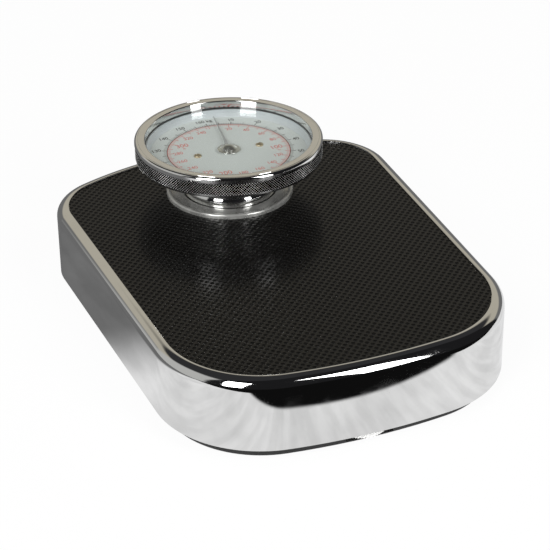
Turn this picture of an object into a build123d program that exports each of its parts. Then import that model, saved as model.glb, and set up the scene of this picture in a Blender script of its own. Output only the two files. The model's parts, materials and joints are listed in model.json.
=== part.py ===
from build123d import *
import math
import os

os.makedirs("parts", exist_ok=True)

# Mechanical bathroom scale with a raised round dial.
# Millimetres, +Z up, the floor at Z = 0, the user stands facing +Y and the dial.
# The origin is the middle of the footprint, under the platform.

# Platform plan
body_length = 405.0
front_width = 289.0
rear_width = 309.5
front_bow_radius = 510.0
rear_bow_radius = 285.0
front_corner_radius = 90.0
rear_corner_radius = 61.0

# Platform heights and sheet
skirt_bottom_z = 12.7
rim_top_z = 75.0
cover_sheet = 1.2
shoulder_radius = 9.0
mat_inset = 10.7
mat_recess = 3.0
mat_thickness = 2.0
mat_edge_gap = 0.3

# Base pan
foot_height = 1.5
pan_sheet = 1.5
pan_inset = 9.7
pan_wall_top_z = 34.0
foot_radius = 11.0
foot_stem_radius = 4.0
foot_rib = 2.0
foot_side_inset = 36.5
foot_front_inset = 84.5
foot_rear_inset = 80.5

# Dial head
dial_inset = 90.5
trim_outer_radius = 56.0
trim_hole_radius = 42.0
trim_sheet = 1.2
trim_bead_width = 4.0
trim_bead_height = 4.2
trim_dish_height = 2.6
trim_sleeve_depth = 10.0
neck_radius = 37.0
neck_waist_radius = 32.0
neck_collar_radius = 41.0
neck_dome_radius = 9.0
neck_dome_rise = 6.0
neck_flange_radius = 52.0
neck_bottom_z = 60.0
case_bottom_z = 102.0
case_bottom_radius = 68.0
case_side_radius = 81.8
case_edge_rise = 7.2
case_band_height = 20.3
case_floor = 2.0
case_hole_radius = 22.0
bezel_outer_radius = 82.2
bezel_aperture_radius = 72.9
bezel_height = 3.7
bezel_edge_radius = 2.4
bezel_sheet = 1.2
dial_rise = 10.0
dial_thickness = 1.2
lens_rise = 8.1
lens_thickness = 1.5
gasket_thickness = 1.2
dial_screw_spread = 28.8

# Pointer train
spindle_radius = 1.5
running_gap = 0.05
pinion_teeth = 12
gear_module = 0.5
pinion_bottom_z = 48.0
pinion_height = 6.0
needle_length = 67.0
needle_sheet = 0.6
hub_flange_radius = 10.2
hub_dome_radius = 6.2

# Levers
platform_travel = 2.0
lever_arm = 40.0
lever_side_inset = 39.5
lever_height = 6.0
lever_thickness = 4.0
long_fulcrum_inset = 52.5
long_lever_z = 40.5
short_fulcrum_inset = 52.5
short_lever_z = 49.0
lever_pin_radius = 2.0
nose_half_track = 28.0

# Main spring and zero adjuster
spring_inset = 29.0
plate_top_z = 36.0
plate_sheet = 2.0
spring_top_z = 59.0
spring_mean_radius = 8.5
spring_wire_radius = 1.1
spring_turns = 6
rod_radius = 2.5
wheel_radius = 22.0
wheel_thickness = 7.0
wheel_bottom_z = 4.0
wheel_teeth = 60
notch_width = 40.0
notch_top_z = 13.2

# Bell crank and rack bar
crank_setback = 30.5
crank_reach = 25.0
crank_tip_radius = 2.2
crank_tip_gap = 0.5
crank_x = 8.0
crank_sheet = 2.0
crank_pin_radius = 2.0
drive_pin_radius = 1.5
bar_sheet = 2.0
bar_height = 8.0

# Fits and gaps
part_gap = 0.3
contact_gap = 0.1
slot_gap = 0.4
foot_stem_fit = 0.05
rod_clearance = 0.5
spindle_clearance = 2.0
spring_end_gap = 0.2

# Channels and hangers under the cover
channel_width = 24.0
channel_depth = 10.0
channel_sheet = 1.5
channel_overhang = 20.0
rear_channel_gap = 16.0
hanger_sheet = 2.0
hanger_width = 10.0
hanger_half_gap = 4.5

# Fulcrum brackets and rivets
bracket_sheet = 2.0
bracket_half_gap = 4.0
bracket_depth = 22.0
ear_rise = 5.0
rivet_radius = 1.5
rivet_pitch = 12.0
rivet_head_radius = 2.8
rivet_head_height = 1.2

# Dial stand
stand_radius = 34.3
stand_wall = 2.3
stand_flange_radius = 46.0
stand_flange = 2.5
stand_top_z = 70.0
shoulder_height = 2.0
window_width = 16.0
window_bottom_z = 44.0
window_top_z = 56.5
stand_screw_circle_radius = 41.0
stand_screw_radius = 2.0

# Neck and the screws of the head
neck_flange_sheet = 1.2
neck_flare_height = 10.0
neck_flare_radius = 13.0
neck_wall = 2.2
case_screw_circle_radius = 43.0
case_screw_radius = 2.0
case_screw_bite = 2.5
case_screw_head_radius = 3.6
screw_head_height = 1.8
screw_hole_radius = 1.6
dial_screw_radius = 1.5
dial_screw_head_radius = 3.3
dial_screw_head_height = 1.5
slot_width = 0.8
slot_depth = 0.7

# Dial, its surround and the bridge under it
dial_radius = 72.8
surround_foot_radius = 68.6
surround_top_radius = 71.6
surround_wall = 1.0
bridge_width = 14.0
bridge_sheet = 2.0
post_radius = 4.5
boss_radius = 6.0
bush_radius = 3.0
bush_flange = 1.0
stud_radius = 1.2

# Hairspring and pinion frame
hairspring_outer_radius = 16.5
hairspring_drop = 4.0
hairspring_height = 2.0
hairspring_step = 1.9
hairspring_half_turns = 6
hairspring_sheet = 0.4
frame_half_depth = 9.0
frame_sheet = 3.0
frame_left_x = -14.0
shelf_sheet = 4.0
finger_sheet = 2.0
foot_bearing_depth = 3.0

# Needle and gear teeth
hub_flange_sheet = 1.2
needle_root_width = 2.6
needle_tip_width = 0.5
needle_eye_radius = 3.8
needle_rest_angle = 8.5
pinion_tooth_root = 0.80
pinion_tooth_mid = 0.62
pinion_tooth_tip = 0.26
rack_tooth_mid = 0.68
rack_tooth_tip = 0.32
spare_teeth = 3

# Shapes of the levers
long_bend_setback = 46.0
long_nose_setback = 8.5
long_nose_reach = 14.5
long_tail = 13.0
link_y = 0.0
nib_depth = 3.0
short_bend_setback = 46.0
short_tail = 8.0
short_nose_half_track = 44.0
tie_setback = 25.0
tie_depth = 6.0

# Crank bracket and crank arms
crank_base_half_depth = 6.0
crank_ear_gap = 0.6
crank_ear_sheet = 2.4
crank_ear_radius = 4.5
crank_pin_stand_out = 0.6
crank_eye_radius = 4.5
crank_top_radius = 2.8
crank_arm_end_radius = 1.2

# Spring plate, rod, wheel and keeper
plate_half_width = 34.0
plate_half_depth = 8.0
plug_height = 4.0
rod_stroke = 1.0
cap_radius = 11.0
cap_sheet = 2.0
hub_radius = 6.0
hub_top_z = 14.5
groove_inner_radius = 9.0
groove_outer_radius = 17.5
groove_depth = 3.0
serration_depth = 0.6
keeper_half_width = 28.0
keeper_half_depth = 8.0
keeper_sheet = 1.2
keeper_leg = 3.0

# Sizes worked out from the ones above
front_bow = front_bow_radius - math.sqrt(front_bow_radius**2 - (front_width / 2) ** 2)
rear_bow = rear_bow_radius - math.sqrt(rear_bow_radius**2 - (rear_width / 2) ** 2)
panel_top_z = rim_top_z - mat_recess
panel_under_z = panel_top_z - cover_sheet
mat_top_z = panel_top_z + mat_thickness
pan_under_z = foot_height
pan_floor_z = pan_under_z + pan_sheet
dial_y = body_length / 2 - dial_inset
long_fulcrum_y = body_length / 2 - long_fulcrum_inset
short_fulcrum_y = short_fulcrum_inset - body_length / 2
spring_y = spring_inset - body_length / 2
crank_y = spring_y + crank_setback
foot_front_y = foot_front_inset - body_length / 2
foot_rear_y = body_length / 2 - foot_rear_inset
foot_spread_x = front_width / 2 - foot_side_inset
lever_half_track = front_width / 2 - lever_side_inset
dial_top_z = case_bottom_z + dial_rise
lens_top_z = dial_top_z + lens_rise
band_top_z = case_bottom_z + case_band_height
bezel_skirt_z = band_top_z + part_gap
bezel_top_z = bezel_skirt_z + bezel_height
hairspring_z = case_bottom_z - hairspring_drop
dial_axis = Axis((0, dial_y, 0), (0, 0, 1))
dial_plane = Plane(origin=(0, dial_y, 0), x_dir=(1, 0, 0), z_dir=(0, -1, 0))
pitch_radius = gear_module * pinion_teeth / 2
tooth_pitch = math.pi * gear_module
rack_travel = 2 * math.pi * pitch_radius
nose_travel = platform_travel * (long_fulcrum_y - spring_y) / lever_arm
crank_swing = nose_travel / crank_reach
crank_rise = rack_travel / crank_swing
crank_rest = crank_swing / 2
plate_under_z = plate_top_z - plate_sheet
crank_z = plate_under_z - crank_tip_gap - crank_tip_radius - crank_reach * math.sin(crank_rest)


def plan_outline(inset):
    """The platform seen from above, drawn in by inset all round."""
    front_y = front_bow - body_length / 2
    rear_y = body_length / 2 - rear_bow
    with BuildSketch() as outline:
        with BuildLine():
            front_end = ThreePointArc(
                (-front_width / 2, front_y), (0, -body_length / 2), (front_width / 2, front_y)
            )
            right_side = Line(front_end @ 1, (rear_width / 2, rear_y))
            rear_end = ThreePointArc(right_side @ 1, (0, body_length / 2), (-rear_width / 2, rear_y))
            Line(rear_end @ 1, front_end @ 0)
        make_face()
        fillet(outline.vertices().group_by(Axis.Y)[0], front_corner_radius)
        fillet(outline.vertices().group_by(Axis.Y)[-1], rear_corner_radius)
        if inset:
            offset(amount=-inset)
    return outline.sketch


# Platform cover: one pressed sheet with a rounded shoulder and a sunk panel for the mat
with BuildPart() as cover_hollow:
    with BuildSketch(Plane.XY.offset(skirt_bottom_z)):
        add(plan_outline(cover_sheet))
    extrude(amount=rim_top_z - cover_sheet - skirt_bottom_z)
    fillet(cover_hollow.faces().sort_by(Axis.Z)[-1].edges(), shoulder_radius - cover_sheet)
    with BuildSketch(Plane.XY.offset(panel_under_z)):
        add(plan_outline(mat_inset - cover_sheet))
    extrude(amount=mat_recess, mode=Mode.SUBTRACT)

with BuildPart() as platform_cover:
    with BuildSketch(Plane.XY.offset(skirt_bottom_z)):
        add(plan_outline(0))
    extrude(amount=rim_top_z - skirt_bottom_z)
    fillet(platform_cover.faces().sort_by(Axis.Z)[-1].edges(), shoulder_radius)
    with BuildSketch(Plane.XY.offset(panel_top_z)):
        add(plan_outline(mat_inset))
    extrude(amount=mat_recess, mode=Mode.SUBTRACT)
    add(cover_hollow.part, mode=Mode.SUBTRACT)
    with BuildSketch(Plane.XY.offset(panel_under_z)):
        with Locations((0, dial_y)):
            Circle(trim_hole_radius + trim_sheet + mat_edge_gap)
    extrude(amount=cover_sheet, mode=Mode.SUBTRACT)
platform_cover.part.label = "platform_cover"
export_step(platform_cover.part, "parts/platform_cover.step")

# Mat: fills the sunk panel and runs in under the trim ring
with BuildPart() as platform_mat:
    with BuildSketch(Plane.XY.offset(panel_top_z)):
        add(plan_outline(mat_inset + mat_edge_gap))
        with Locations((0, dial_y)):
            Circle(trim_outer_radius - 2 * trim_bead_width, mode=Mode.SUBTRACT)
    extrude(amount=mat_thickness)
platform_mat.part.label = "platform_mat"
export_step(platform_mat.part, "parts/platform_mat.step")

# Trim ring: a half-round bead on the mat, a dished ring and a sleeve through the panel
bead_in = trim_outer_radius - trim_bead_width
bead_spring_z = mat_top_z + trim_bead_height - trim_bead_width / 2
dish_z = mat_top_z + trim_dish_height
with BuildPart() as trim_ring:
    with BuildSketch(dial_plane):
        with BuildLine():
            rise = Line((trim_outer_radius, mat_top_z), (trim_outer_radius, bead_spring_z))
            crown = ThreePointArc(
                rise @ 1,
                (trim_outer_radius - trim_bead_width / 2, mat_top_z + trim_bead_height),
                (bead_in, bead_spring_z),
            )
            Polyline(
                crown @ 1,
                (bead_in, mat_top_z + trim_sheet),
                (trim_hole_radius + trim_sheet, dish_z),
                (trim_hole_radius, dish_z),
                (trim_hole_radius, dish_z - trim_sleeve_depth),
                (trim_hole_radius + trim_sheet, dish_z - trim_sleeve_depth),
                (trim_hole_radius + trim_sheet, dish_z - trim_sheet),
                (bead_in, mat_top_z),
                rise @ 0,
            )
        make_face()
    revolve(axis=dial_axis)
trim_ring.part.label = "trim_ring"
export_step(trim_ring.part, "parts/trim_ring.step")

# Load channels: three inverted channels under the panel, clear of the dial column
long_load_y = long_fulcrum_y - lever_arm
short_load_y = short_fulcrum_y + lever_arm
channel_end_x = lever_half_track + channel_overhang
rear_channel_start_x = stand_flange_radius + rear_channel_gap
front_channel_plane = Plane.YZ.offset(-channel_end_x)
left_channel_plane = Plane.YZ.offset(-channel_end_x)
right_channel_plane = Plane.YZ.offset(rear_channel_start_x)
rear_channel_length = channel_end_x - rear_channel_start_x
channel_runs = (
    (front_channel_plane, short_load_y, 2 * channel_end_x),
    (left_channel_plane, long_load_y, rear_channel_length),
    (right_channel_plane, long_load_y, rear_channel_length),
)
with BuildPart() as load_channels:
    for channel_plane, channel_y, channel_length in channel_runs:
        with BuildSketch(channel_plane):
            with Locations((channel_y, panel_under_z - channel_depth / 2)):
                Rectangle(channel_width, channel_depth)
            with Locations((channel_y, panel_under_z - channel_depth / 2 - channel_sheet / 2)):
                Rectangle(
                    channel_width - 2 * channel_sheet, channel_depth - channel_sheet, mode=Mode.SUBTRACT
                )
        extrude(amount=channel_length)
load_channels.part.label = "load_channels"
export_step(load_channels.part, "parts/load_channels.step")

# Load hangers: U straps from the channels down to the load pins of the levers
hanger_top_z = panel_under_z - channel_sheet
hanger_hole_radius = lever_pin_radius + 0.25
hanger_places = (
    (short_load_y, short_lever_z),
    (long_load_y, long_lever_z),
)
with BuildPart() as load_hangers:
    for load_y, pin_z in hanger_places:
        strap_bottom_z = pin_z - hanger_width / 2
        for side in (-1, 1):
            with BuildSketch(Plane.XZ.offset(-load_y - hanger_width / 2)):
                with Locations((side * lever_half_track, (hanger_top_z + strap_bottom_z) / 2)):
                    Rectangle(2 * (hanger_half_gap + hanger_sheet), hanger_top_z - strap_bottom_z)
                with Locations((side * lever_half_track, (hanger_top_z + strap_bottom_z) / 2 - hanger_sheet)):
                    Rectangle(2 * hanger_half_gap, hanger_top_z - strap_bottom_z, mode=Mode.SUBTRACT)
            extrude(amount=hanger_width)
            with BuildSketch(Plane.YZ.offset(side * lever_half_track - hanger_half_gap - hanger_sheet)):
                with Locations((load_y, pin_z)):
                    Circle(hanger_hole_radius)
            extrude(amount=2 * (hanger_half_gap + hanger_sheet), mode=Mode.SUBTRACT)
load_hangers.part.label = "load_hangers"
export_step(load_hangers.part, "parts/load_hangers.step")

# Base pan: a shallow black pan with a thumb notch in its front wall
pan_foot_places = (
    (-foot_spread_x, foot_front_y),
    (foot_spread_x, foot_front_y),
    (-foot_spread_x, foot_rear_y),
    (foot_spread_x, foot_rear_y),
)
bracket_places = (
    (short_fulcrum_y, short_lever_z),
    (long_fulcrum_y, long_lever_z),
)
bracket_spots = [(side * lever_half_track, y) for y, _ in bracket_places for side in (-1, 1)]
rivet_spots = [(x, y + step) for x, y in bracket_spots for step in (-rivet_pitch / 2, rivet_pitch / 2)]
with BuildPart() as base_pan:
    with BuildSketch(Plane.XY.offset(pan_under_z)):
        add(plan_outline(pan_inset))
    extrude(amount=pan_wall_top_z - pan_under_z)
    with BuildSketch(Plane.XY.offset(pan_floor_z)):
        add(plan_outline(pan_inset + pan_sheet))
    extrude(amount=pan_wall_top_z - pan_floor_z, mode=Mode.SUBTRACT)
    fillet(base_pan.faces().sort_by(Axis.Z)[0].outer_wire().edges(), pan_sheet - 0.2)
    with BuildSketch(Plane.XZ.offset(body_length / 2 - pan_inset - 4 * pan_sheet)) as notch:
        with Locations((0, (pan_floor_z + notch_top_z) / 2)):
            Rectangle(notch_width, notch_top_z - pan_floor_z)
        fillet(notch.vertices().group_by(Axis.Y)[-1], 3)
    extrude(amount=8 * pan_sheet, mode=Mode.SUBTRACT)
    with BuildSketch(Plane.XY.offset(pan_under_z)):
        with Locations(*pan_foot_places):
            Circle(foot_stem_radius)
        with Locations((0, dial_y)):
            with PolarLocations(stand_screw_circle_radius, 4, start_angle=45):
                Circle(stand_screw_radius)
        with Locations(*rivet_spots):
            Circle(rivet_radius)
    extrude(amount=pan_sheet, mode=Mode.SUBTRACT)
base_pan.part.label = "base_pan"
export_step(base_pan.part, "parts/base_pan.step")

# Rubber feet: pads with a stem and a barb that snaps through the pan
barb_radius = foot_stem_radius + 1.2
with BuildPart() as rubber_feet:
    with Locations(*[(x, y, 0) for x, y in pan_foot_places]):
        Cylinder(foot_radius, foot_height, align=(Align.CENTER, Align.CENTER, Align.MIN))
    with Locations(*[(x, y, foot_height) for x, y in pan_foot_places]):
        Cylinder(foot_stem_radius - foot_stem_fit, pan_sheet, align=(Align.CENTER, Align.CENTER, Align.MIN))
    with Locations(*[(x, y, pan_floor_z) for x, y in pan_foot_places]):
        Cone(barb_radius, foot_stem_radius - 1, 2 * foot_rib, align=(Align.CENTER, Align.CENTER, Align.MIN))
    chamfer(rubber_feet.faces().group_by(Axis.Z)[0].edges(), 0.5)
rubber_feet.part.label = "rubber_feet"
export_step(rubber_feet.part, "parts/rubber_feet.step")

# Fulcrum brackets: four U brackets riveted to the pan floor
with BuildPart() as fulcrum_brackets:
    for fulcrum_y, pin_z in bracket_places:
        ear_top_z = pin_z + ear_rise
        for side in (-1, 1):
            bracket_x = side * lever_half_track
            with BuildSketch(Plane.XZ.offset(-fulcrum_y - bracket_depth / 2)):
                with Locations((bracket_x, (ear_top_z + pan_floor_z) / 2)):
                    Rectangle(2 * (bracket_half_gap + bracket_sheet), ear_top_z - pan_floor_z)
                with Locations((bracket_x, (ear_top_z + pan_floor_z) / 2 + bracket_sheet)):
                    Rectangle(2 * bracket_half_gap, ear_top_z - pan_floor_z, mode=Mode.SUBTRACT)
            extrude(amount=bracket_depth)
            with BuildSketch(Plane.YZ.offset(bracket_x - bracket_half_gap - bracket_sheet)):
                with BuildLine():
                    Polyline(
                        (fulcrum_y + ear_rise, ear_top_z),
                        (fulcrum_y + bracket_depth / 2, ear_top_z),
                        (fulcrum_y + bracket_depth / 2, pan_floor_z + 3 * bracket_sheet),
                        close=True,
                    )
                make_face()
                with BuildLine():
                    Polyline(
                        (fulcrum_y - ear_rise, ear_top_z),
                        (fulcrum_y - bracket_depth / 2, ear_top_z),
                        (fulcrum_y - bracket_depth / 2, pan_floor_z + 3 * bracket_sheet),
                        close=True,
                    )
                make_face()
                with Locations((fulcrum_y, pin_z)):
                    Circle(lever_pin_radius + running_gap)
            extrude(amount=2 * (bracket_half_gap + bracket_sheet), mode=Mode.SUBTRACT)
    with BuildSketch(Plane.XY.offset(pan_floor_z)):
        with Locations(*rivet_spots):
            Circle(rivet_radius)
    extrude(amount=bracket_sheet, mode=Mode.SUBTRACT)
fulcrum_brackets.part.label = "fulcrum_brackets"
export_step(fulcrum_brackets.part, "parts/fulcrum_brackets.step")

# Bracket rivets: flush under the pan, low heads inside
with BuildPart() as bracket_rivets:
    with Locations(*[(x, y, pan_under_z) for x, y in rivet_spots]):
        Cylinder(rivet_radius, pan_sheet + bracket_sheet, align=(Align.CENTER, Align.CENTER, Align.MIN))
    with Locations(*[(x, y, pan_floor_z + bracket_sheet) for x, y in rivet_spots]):
        Cylinder(rivet_head_radius, rivet_head_height, align=(Align.CENTER, Align.CENTER, Align.MIN))
bracket_rivets.part.label = "bracket_rivets"
export_step(bracket_rivets.part, "parts/bracket_rivets.step")

# Dial stand: a flanged column on the pan that carries the neck; the rack bar passes its windows
with BuildPart() as dial_stand:
    with BuildSketch(dial_plane):
        with BuildLine():
            Polyline(
                (stand_radius - stand_wall, pan_floor_z),
                (stand_flange_radius, pan_floor_z),
                (stand_flange_radius, pan_floor_z + stand_flange),
                (stand_radius, pan_floor_z + stand_flange),
                (stand_radius, neck_bottom_z - shoulder_height),
                (neck_radius, neck_bottom_z - shoulder_height),
                (neck_radius, neck_bottom_z),
                (stand_radius, neck_bottom_z),
                (stand_radius, stand_top_z),
                (stand_radius - stand_wall, stand_top_z),
                close=True,
            )
        make_face()
    revolve(axis=dial_axis)
    with BuildSketch(Plane.XZ.offset(-dial_y - stand_flange_radius)):
        with Locations((pitch_radius + window_width / 3, (window_bottom_z + window_top_z) / 2)):
            RectangleRounded(window_width, window_top_z - window_bottom_z, 2)
    extrude(amount=2 * stand_flange_radius, mode=Mode.SUBTRACT)
    with BuildSketch(Plane.XY.offset(pan_floor_z)):
        with Locations((0, dial_y)):
            with PolarLocations(stand_screw_circle_radius, 4, start_angle=45):
                Circle(stand_screw_radius)
    extrude(amount=stand_flange, mode=Mode.SUBTRACT)
dial_stand.part.label = "dial_stand"
export_step(dial_stand.part, "parts/dial_stand.step")

# Stand screws: four screws up through the pan, pan heads on the flange
with BuildPart() as stand_screws:
    with BuildSketch(Plane.XY.offset(pan_under_z)):
        with Locations((0, dial_y)):
            with PolarLocations(stand_screw_circle_radius, 4, start_angle=45):
                Circle(stand_screw_radius)
    extrude(amount=pan_sheet + stand_flange)
    with BuildSketch(Plane.XY.offset(pan_floor_z + stand_flange)):
        with Locations((0, dial_y)):
            with PolarLocations(stand_screw_circle_radius, 4, start_angle=45):
                Circle(1.8 * stand_screw_radius)
    extrude(amount=screw_head_height)
stand_screws.part.label = "stand_screws"
export_step(stand_screws.part, "parts/stand_screws.step")

# Neck tube: chrome column with a collar at the mat and a flare under the case
neck_bore_radius = stand_radius + part_gap
collar_top_z = mat_top_z + neck_dome_rise
dome_reach = neck_dome_radius * math.sqrt(0.5)
dome_middle = (neck_waist_radius + dome_reach, collar_top_z + dome_reach)
waist_bottom_z = collar_top_z + neck_dome_radius
waist_top_z = case_bottom_z - neck_flare_height
neck_lip_radius = neck_flange_radius - 3.0
with BuildPart() as neck_tube:
    with BuildSketch(dial_plane):
        with BuildLine():
            Polyline(
                (neck_flange_radius, case_bottom_z - neck_flange_sheet),
                (neck_flange_radius, case_bottom_z),
                (neck_waist_radius - neck_wall, case_bottom_z),
                (neck_waist_radius - neck_wall, collar_top_z + neck_dome_rise),
                (neck_bore_radius, collar_top_z),
                (neck_bore_radius, neck_bottom_z),
                (neck_radius, neck_bottom_z),
                (neck_radius, mat_top_z - neck_dome_rise),
                (neck_collar_radius, mat_top_z - 1),
                (neck_collar_radius, collar_top_z),
            )
            ThreePointArc(
                (neck_collar_radius, collar_top_z), dome_middle, (neck_waist_radius, waist_bottom_z)
            )
            Line((neck_waist_radius, waist_bottom_z), (neck_waist_radius, waist_top_z))
            RadiusArc(
                (neck_waist_radius, waist_top_z),
                (neck_lip_radius, case_bottom_z - neck_flange_sheet),
                neck_flare_radius,
            )
            Line(
                (neck_lip_radius, case_bottom_z - neck_flange_sheet),
                (neck_flange_radius, case_bottom_z - neck_flange_sheet),
            )
        make_face()
    revolve(axis=dial_axis)
    with BuildSketch(Plane.XY.offset(case_bottom_z)):
        with Locations((0, dial_y)):
            with PolarLocations(case_screw_circle_radius, 4):
                Circle(case_screw_radius)
    extrude(amount=-case_screw_bite, mode=Mode.SUBTRACT)
neck_tube.part.label = "neck_tube"
export_step(neck_tube.part, "parts/neck_tube.step")

# Dial case: a cast bowl whose sloping wall carries the knurled grip band
case_floor_top_z = case_bottom_z + case_floor
case_edge_z = case_bottom_z + case_edge_rise
spigot_radius = bezel_outer_radius - bezel_sheet - 2 * running_gap
dial_ledge_z = dial_top_z - dial_thickness
lens_radius = dial_radius + 3.0
lens_under_z = lens_top_z - lens_thickness
gasket_under_z = lens_under_z - gasket_thickness
case_rim_z = bezel_top_z - bezel_sheet - part_gap
with BuildPart() as dial_case:
    with BuildSketch(dial_plane):
        with BuildLine():
            Polyline(
                (case_hole_radius, case_bottom_z),
                (case_bottom_radius, case_bottom_z),
                (case_side_radius, case_edge_z),
                (case_side_radius, band_top_z),
                (spigot_radius, band_top_z),
                (spigot_radius, case_rim_z),
                (lens_radius + part_gap, case_rim_z),
                (lens_radius + part_gap, gasket_under_z),
                (dial_radius + part_gap, gasket_under_z),
                (dial_radius + part_gap, dial_ledge_z),
                (dial_radius - 4, dial_ledge_z),
                (dial_radius - 6, case_floor_top_z),
                (case_hole_radius, case_floor_top_z),
                close=True,
            )
        make_face()
    revolve(axis=dial_axis)
    grip_edges = dial_case.edges().filter_by(GeomType.CIRCLE).filter_by_position(
        Axis.Z, case_bottom_z - part_gap, case_edge_z + part_gap
    )
    fillet([edge for edge in grip_edges if edge.radius > case_bottom_radius - part_gap], 2.0)
    with BuildSketch(Plane.XY.offset(case_bottom_z)):
        with Locations((0, dial_y)):
            with PolarLocations(case_screw_circle_radius, 4):
                Circle(case_screw_radius)
    extrude(amount=case_floor, mode=Mode.SUBTRACT)
dial_case.part.label = "dial_case"
export_step(dial_case.part, "parts/dial_case.step")

# Bezel ring: a spun ring with an outer lip, a flat top and a foot that holds the lens down
bezel_foot_radius = lens_radius - part_gap
with BuildPart() as bezel_ring:
    with BuildSketch(dial_plane):
        with BuildLine():
            Polyline(
                (bezel_outer_radius, bezel_skirt_z),
                (bezel_outer_radius, bezel_top_z),
                (bezel_aperture_radius, bezel_top_z),
                (bezel_aperture_radius, lens_top_z),
                (bezel_foot_radius, lens_top_z),
                (bezel_foot_radius, lens_top_z + bezel_sheet),
                (bezel_aperture_radius + bezel_sheet, lens_top_z + bezel_sheet),
                (bezel_aperture_radius + bezel_sheet, bezel_top_z - bezel_sheet),
                (bezel_outer_radius - bezel_sheet, bezel_top_z - bezel_sheet),
                (bezel_outer_radius - bezel_sheet, bezel_skirt_z),
                close=True,
            )
        make_face()
    revolve(axis=dial_axis)
    top_edges = bezel_ring.edges().filter_by(GeomType.CIRCLE).group_by(Axis.Z)[-1].sort_by(SortBy.RADIUS)
    fillet(top_edges[-1], bezel_edge_radius)
    fillet(bezel_ring.edges().filter_by(GeomType.CIRCLE).group_by(Axis.Z)[-1].sort_by(SortBy.RADIUS)[0], 0.8)
bezel_ring.part.label = "bezel_ring"
export_step(bezel_ring.part, "parts/bezel_ring.step")

# Lens gasket: a flat rubber ring on the case ledge, under the lens
with BuildPart() as lens_gasket:
    with BuildSketch(Plane.XY.offset(gasket_under_z)):
        with Locations((0, dial_y)):
            Circle(lens_radius)
            Circle(dial_radius + part_gap, mode=Mode.SUBTRACT)
    extrude(amount=gasket_thickness)
lens_gasket.part.label = "lens_gasket"
export_step(lens_gasket.part, "parts/lens_gasket.step")

# Lens: a flat glass disc between the gasket and the bezel foot
with BuildPart() as lens:
    with BuildSketch(Plane.XY.offset(lens_under_z)):
        with Locations((0, dial_y)):
            Circle(lens_radius)
    extrude(amount=lens_thickness)
lens.part.label = "lens"
export_step(lens.part, "parts/lens.step")

# Dial plate: a flat printed disc on the case ledge
with BuildPart() as dial_plate:
    with BuildSketch(Plane.XY.offset(dial_ledge_z)):
        with Locations((0, dial_y)):
            Circle(dial_radius)
            Circle(spindle_radius + spindle_clearance, mode=Mode.SUBTRACT)
            with GridLocations(2 * dial_screw_spread, 0, 2, 1):
                Circle(screw_hole_radius, mode=Mode.SUBTRACT)
    extrude(amount=dial_thickness)
dial_plate.part.label = "dial_plate"
export_step(dial_plate.part, "parts/dial_plate.step")

# Dial surround: a thin white cone on the edge of the dial, up to just under the lens
surround_top_z = lens_under_z - part_gap
with BuildPart() as dial_surround:
    with BuildSketch(dial_plane):
        with BuildLine():
            Polyline(
                (surround_foot_radius, dial_top_z),
                (surround_top_radius, surround_top_z),
                (surround_top_radius + surround_wall, surround_top_z),
                (surround_foot_radius + 2 * surround_wall, dial_top_z + surround_wall),
                (dial_radius, dial_top_z + surround_wall),
                (dial_radius, dial_top_z),
                close=True,
            )
        make_face()
    revolve(axis=dial_axis)
dial_surround.part.label = "dial_surround"
export_step(dial_surround.part, "parts/dial_surround.step")

# Dial bridge: a bar across the case floor with two dial posts, a bearing boss and a spring stud
bridge_top_z = case_floor_top_z + bridge_sheet
boss_top_z = bridge_top_z + 3.0
with BuildPart() as dial_bridge:
    with BuildSketch(Plane.XY.offset(case_floor_top_z)):
        with Locations((0, dial_y)):
            RectangleRounded(
                2 * (case_screw_circle_radius + bridge_width / 2), bridge_width, bridge_width / 2 - 0.5
            )
    extrude(amount=bridge_sheet)
    with BuildSketch(Plane.XY.offset(bridge_top_z)):
        with Locations((0, dial_y)):
            with GridLocations(2 * dial_screw_spread, 0, 2, 1):
                Circle(post_radius)
    extrude(amount=dial_ledge_z - bridge_top_z)
    with BuildSketch(Plane.XY.offset(bridge_top_z)):
        with Locations((0, dial_y)):
            Circle(boss_radius)
    extrude(amount=boss_top_z - bridge_top_z)
    with BuildSketch(Plane.XY.offset(hairspring_z)):
        with Locations((hairspring_outer_radius + stud_radius + part_gap, dial_y)):
            Circle(stud_radius)
    extrude(amount=case_floor_top_z - hairspring_z)
    with BuildSketch(Plane.XY.offset(case_floor_top_z)):
        with Locations((0, dial_y)):
            Circle(bush_radius)
            with GridLocations(2 * dial_screw_spread, 0, 2, 1):
                Circle(dial_screw_radius)
            with GridLocations(2 * case_screw_circle_radius, 0, 2, 1):
                Circle(case_screw_radius)
    extrude(amount=dial_ledge_z - case_floor_top_z, mode=Mode.SUBTRACT)
dial_bridge.part.label = "dial_bridge"
export_step(dial_bridge.part, "parts/dial_bridge.step")

# Bridge screws: hold the bridge, the case and the neck flange together
with BuildPart() as bridge_screws:
    with BuildSketch(Plane.XY.offset(case_bottom_z - case_screw_bite)):
        with Locations((0, dial_y)):
            with GridLocations(2 * case_screw_circle_radius, 0, 2, 1):
                Circle(case_screw_radius)
    extrude(amount=case_screw_bite + case_floor + bridge_sheet)
    with BuildSketch(Plane.XY.offset(bridge_top_z)):
        with Locations((0, dial_y)):
            with GridLocations(2 * case_screw_circle_radius, 0, 2, 1):
                Circle(case_screw_head_radius)
    extrude(amount=screw_head_height)
bridge_screws.part.label = "bridge_screws"
export_step(bridge_screws.part, "parts/bridge_screws.step")

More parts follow.
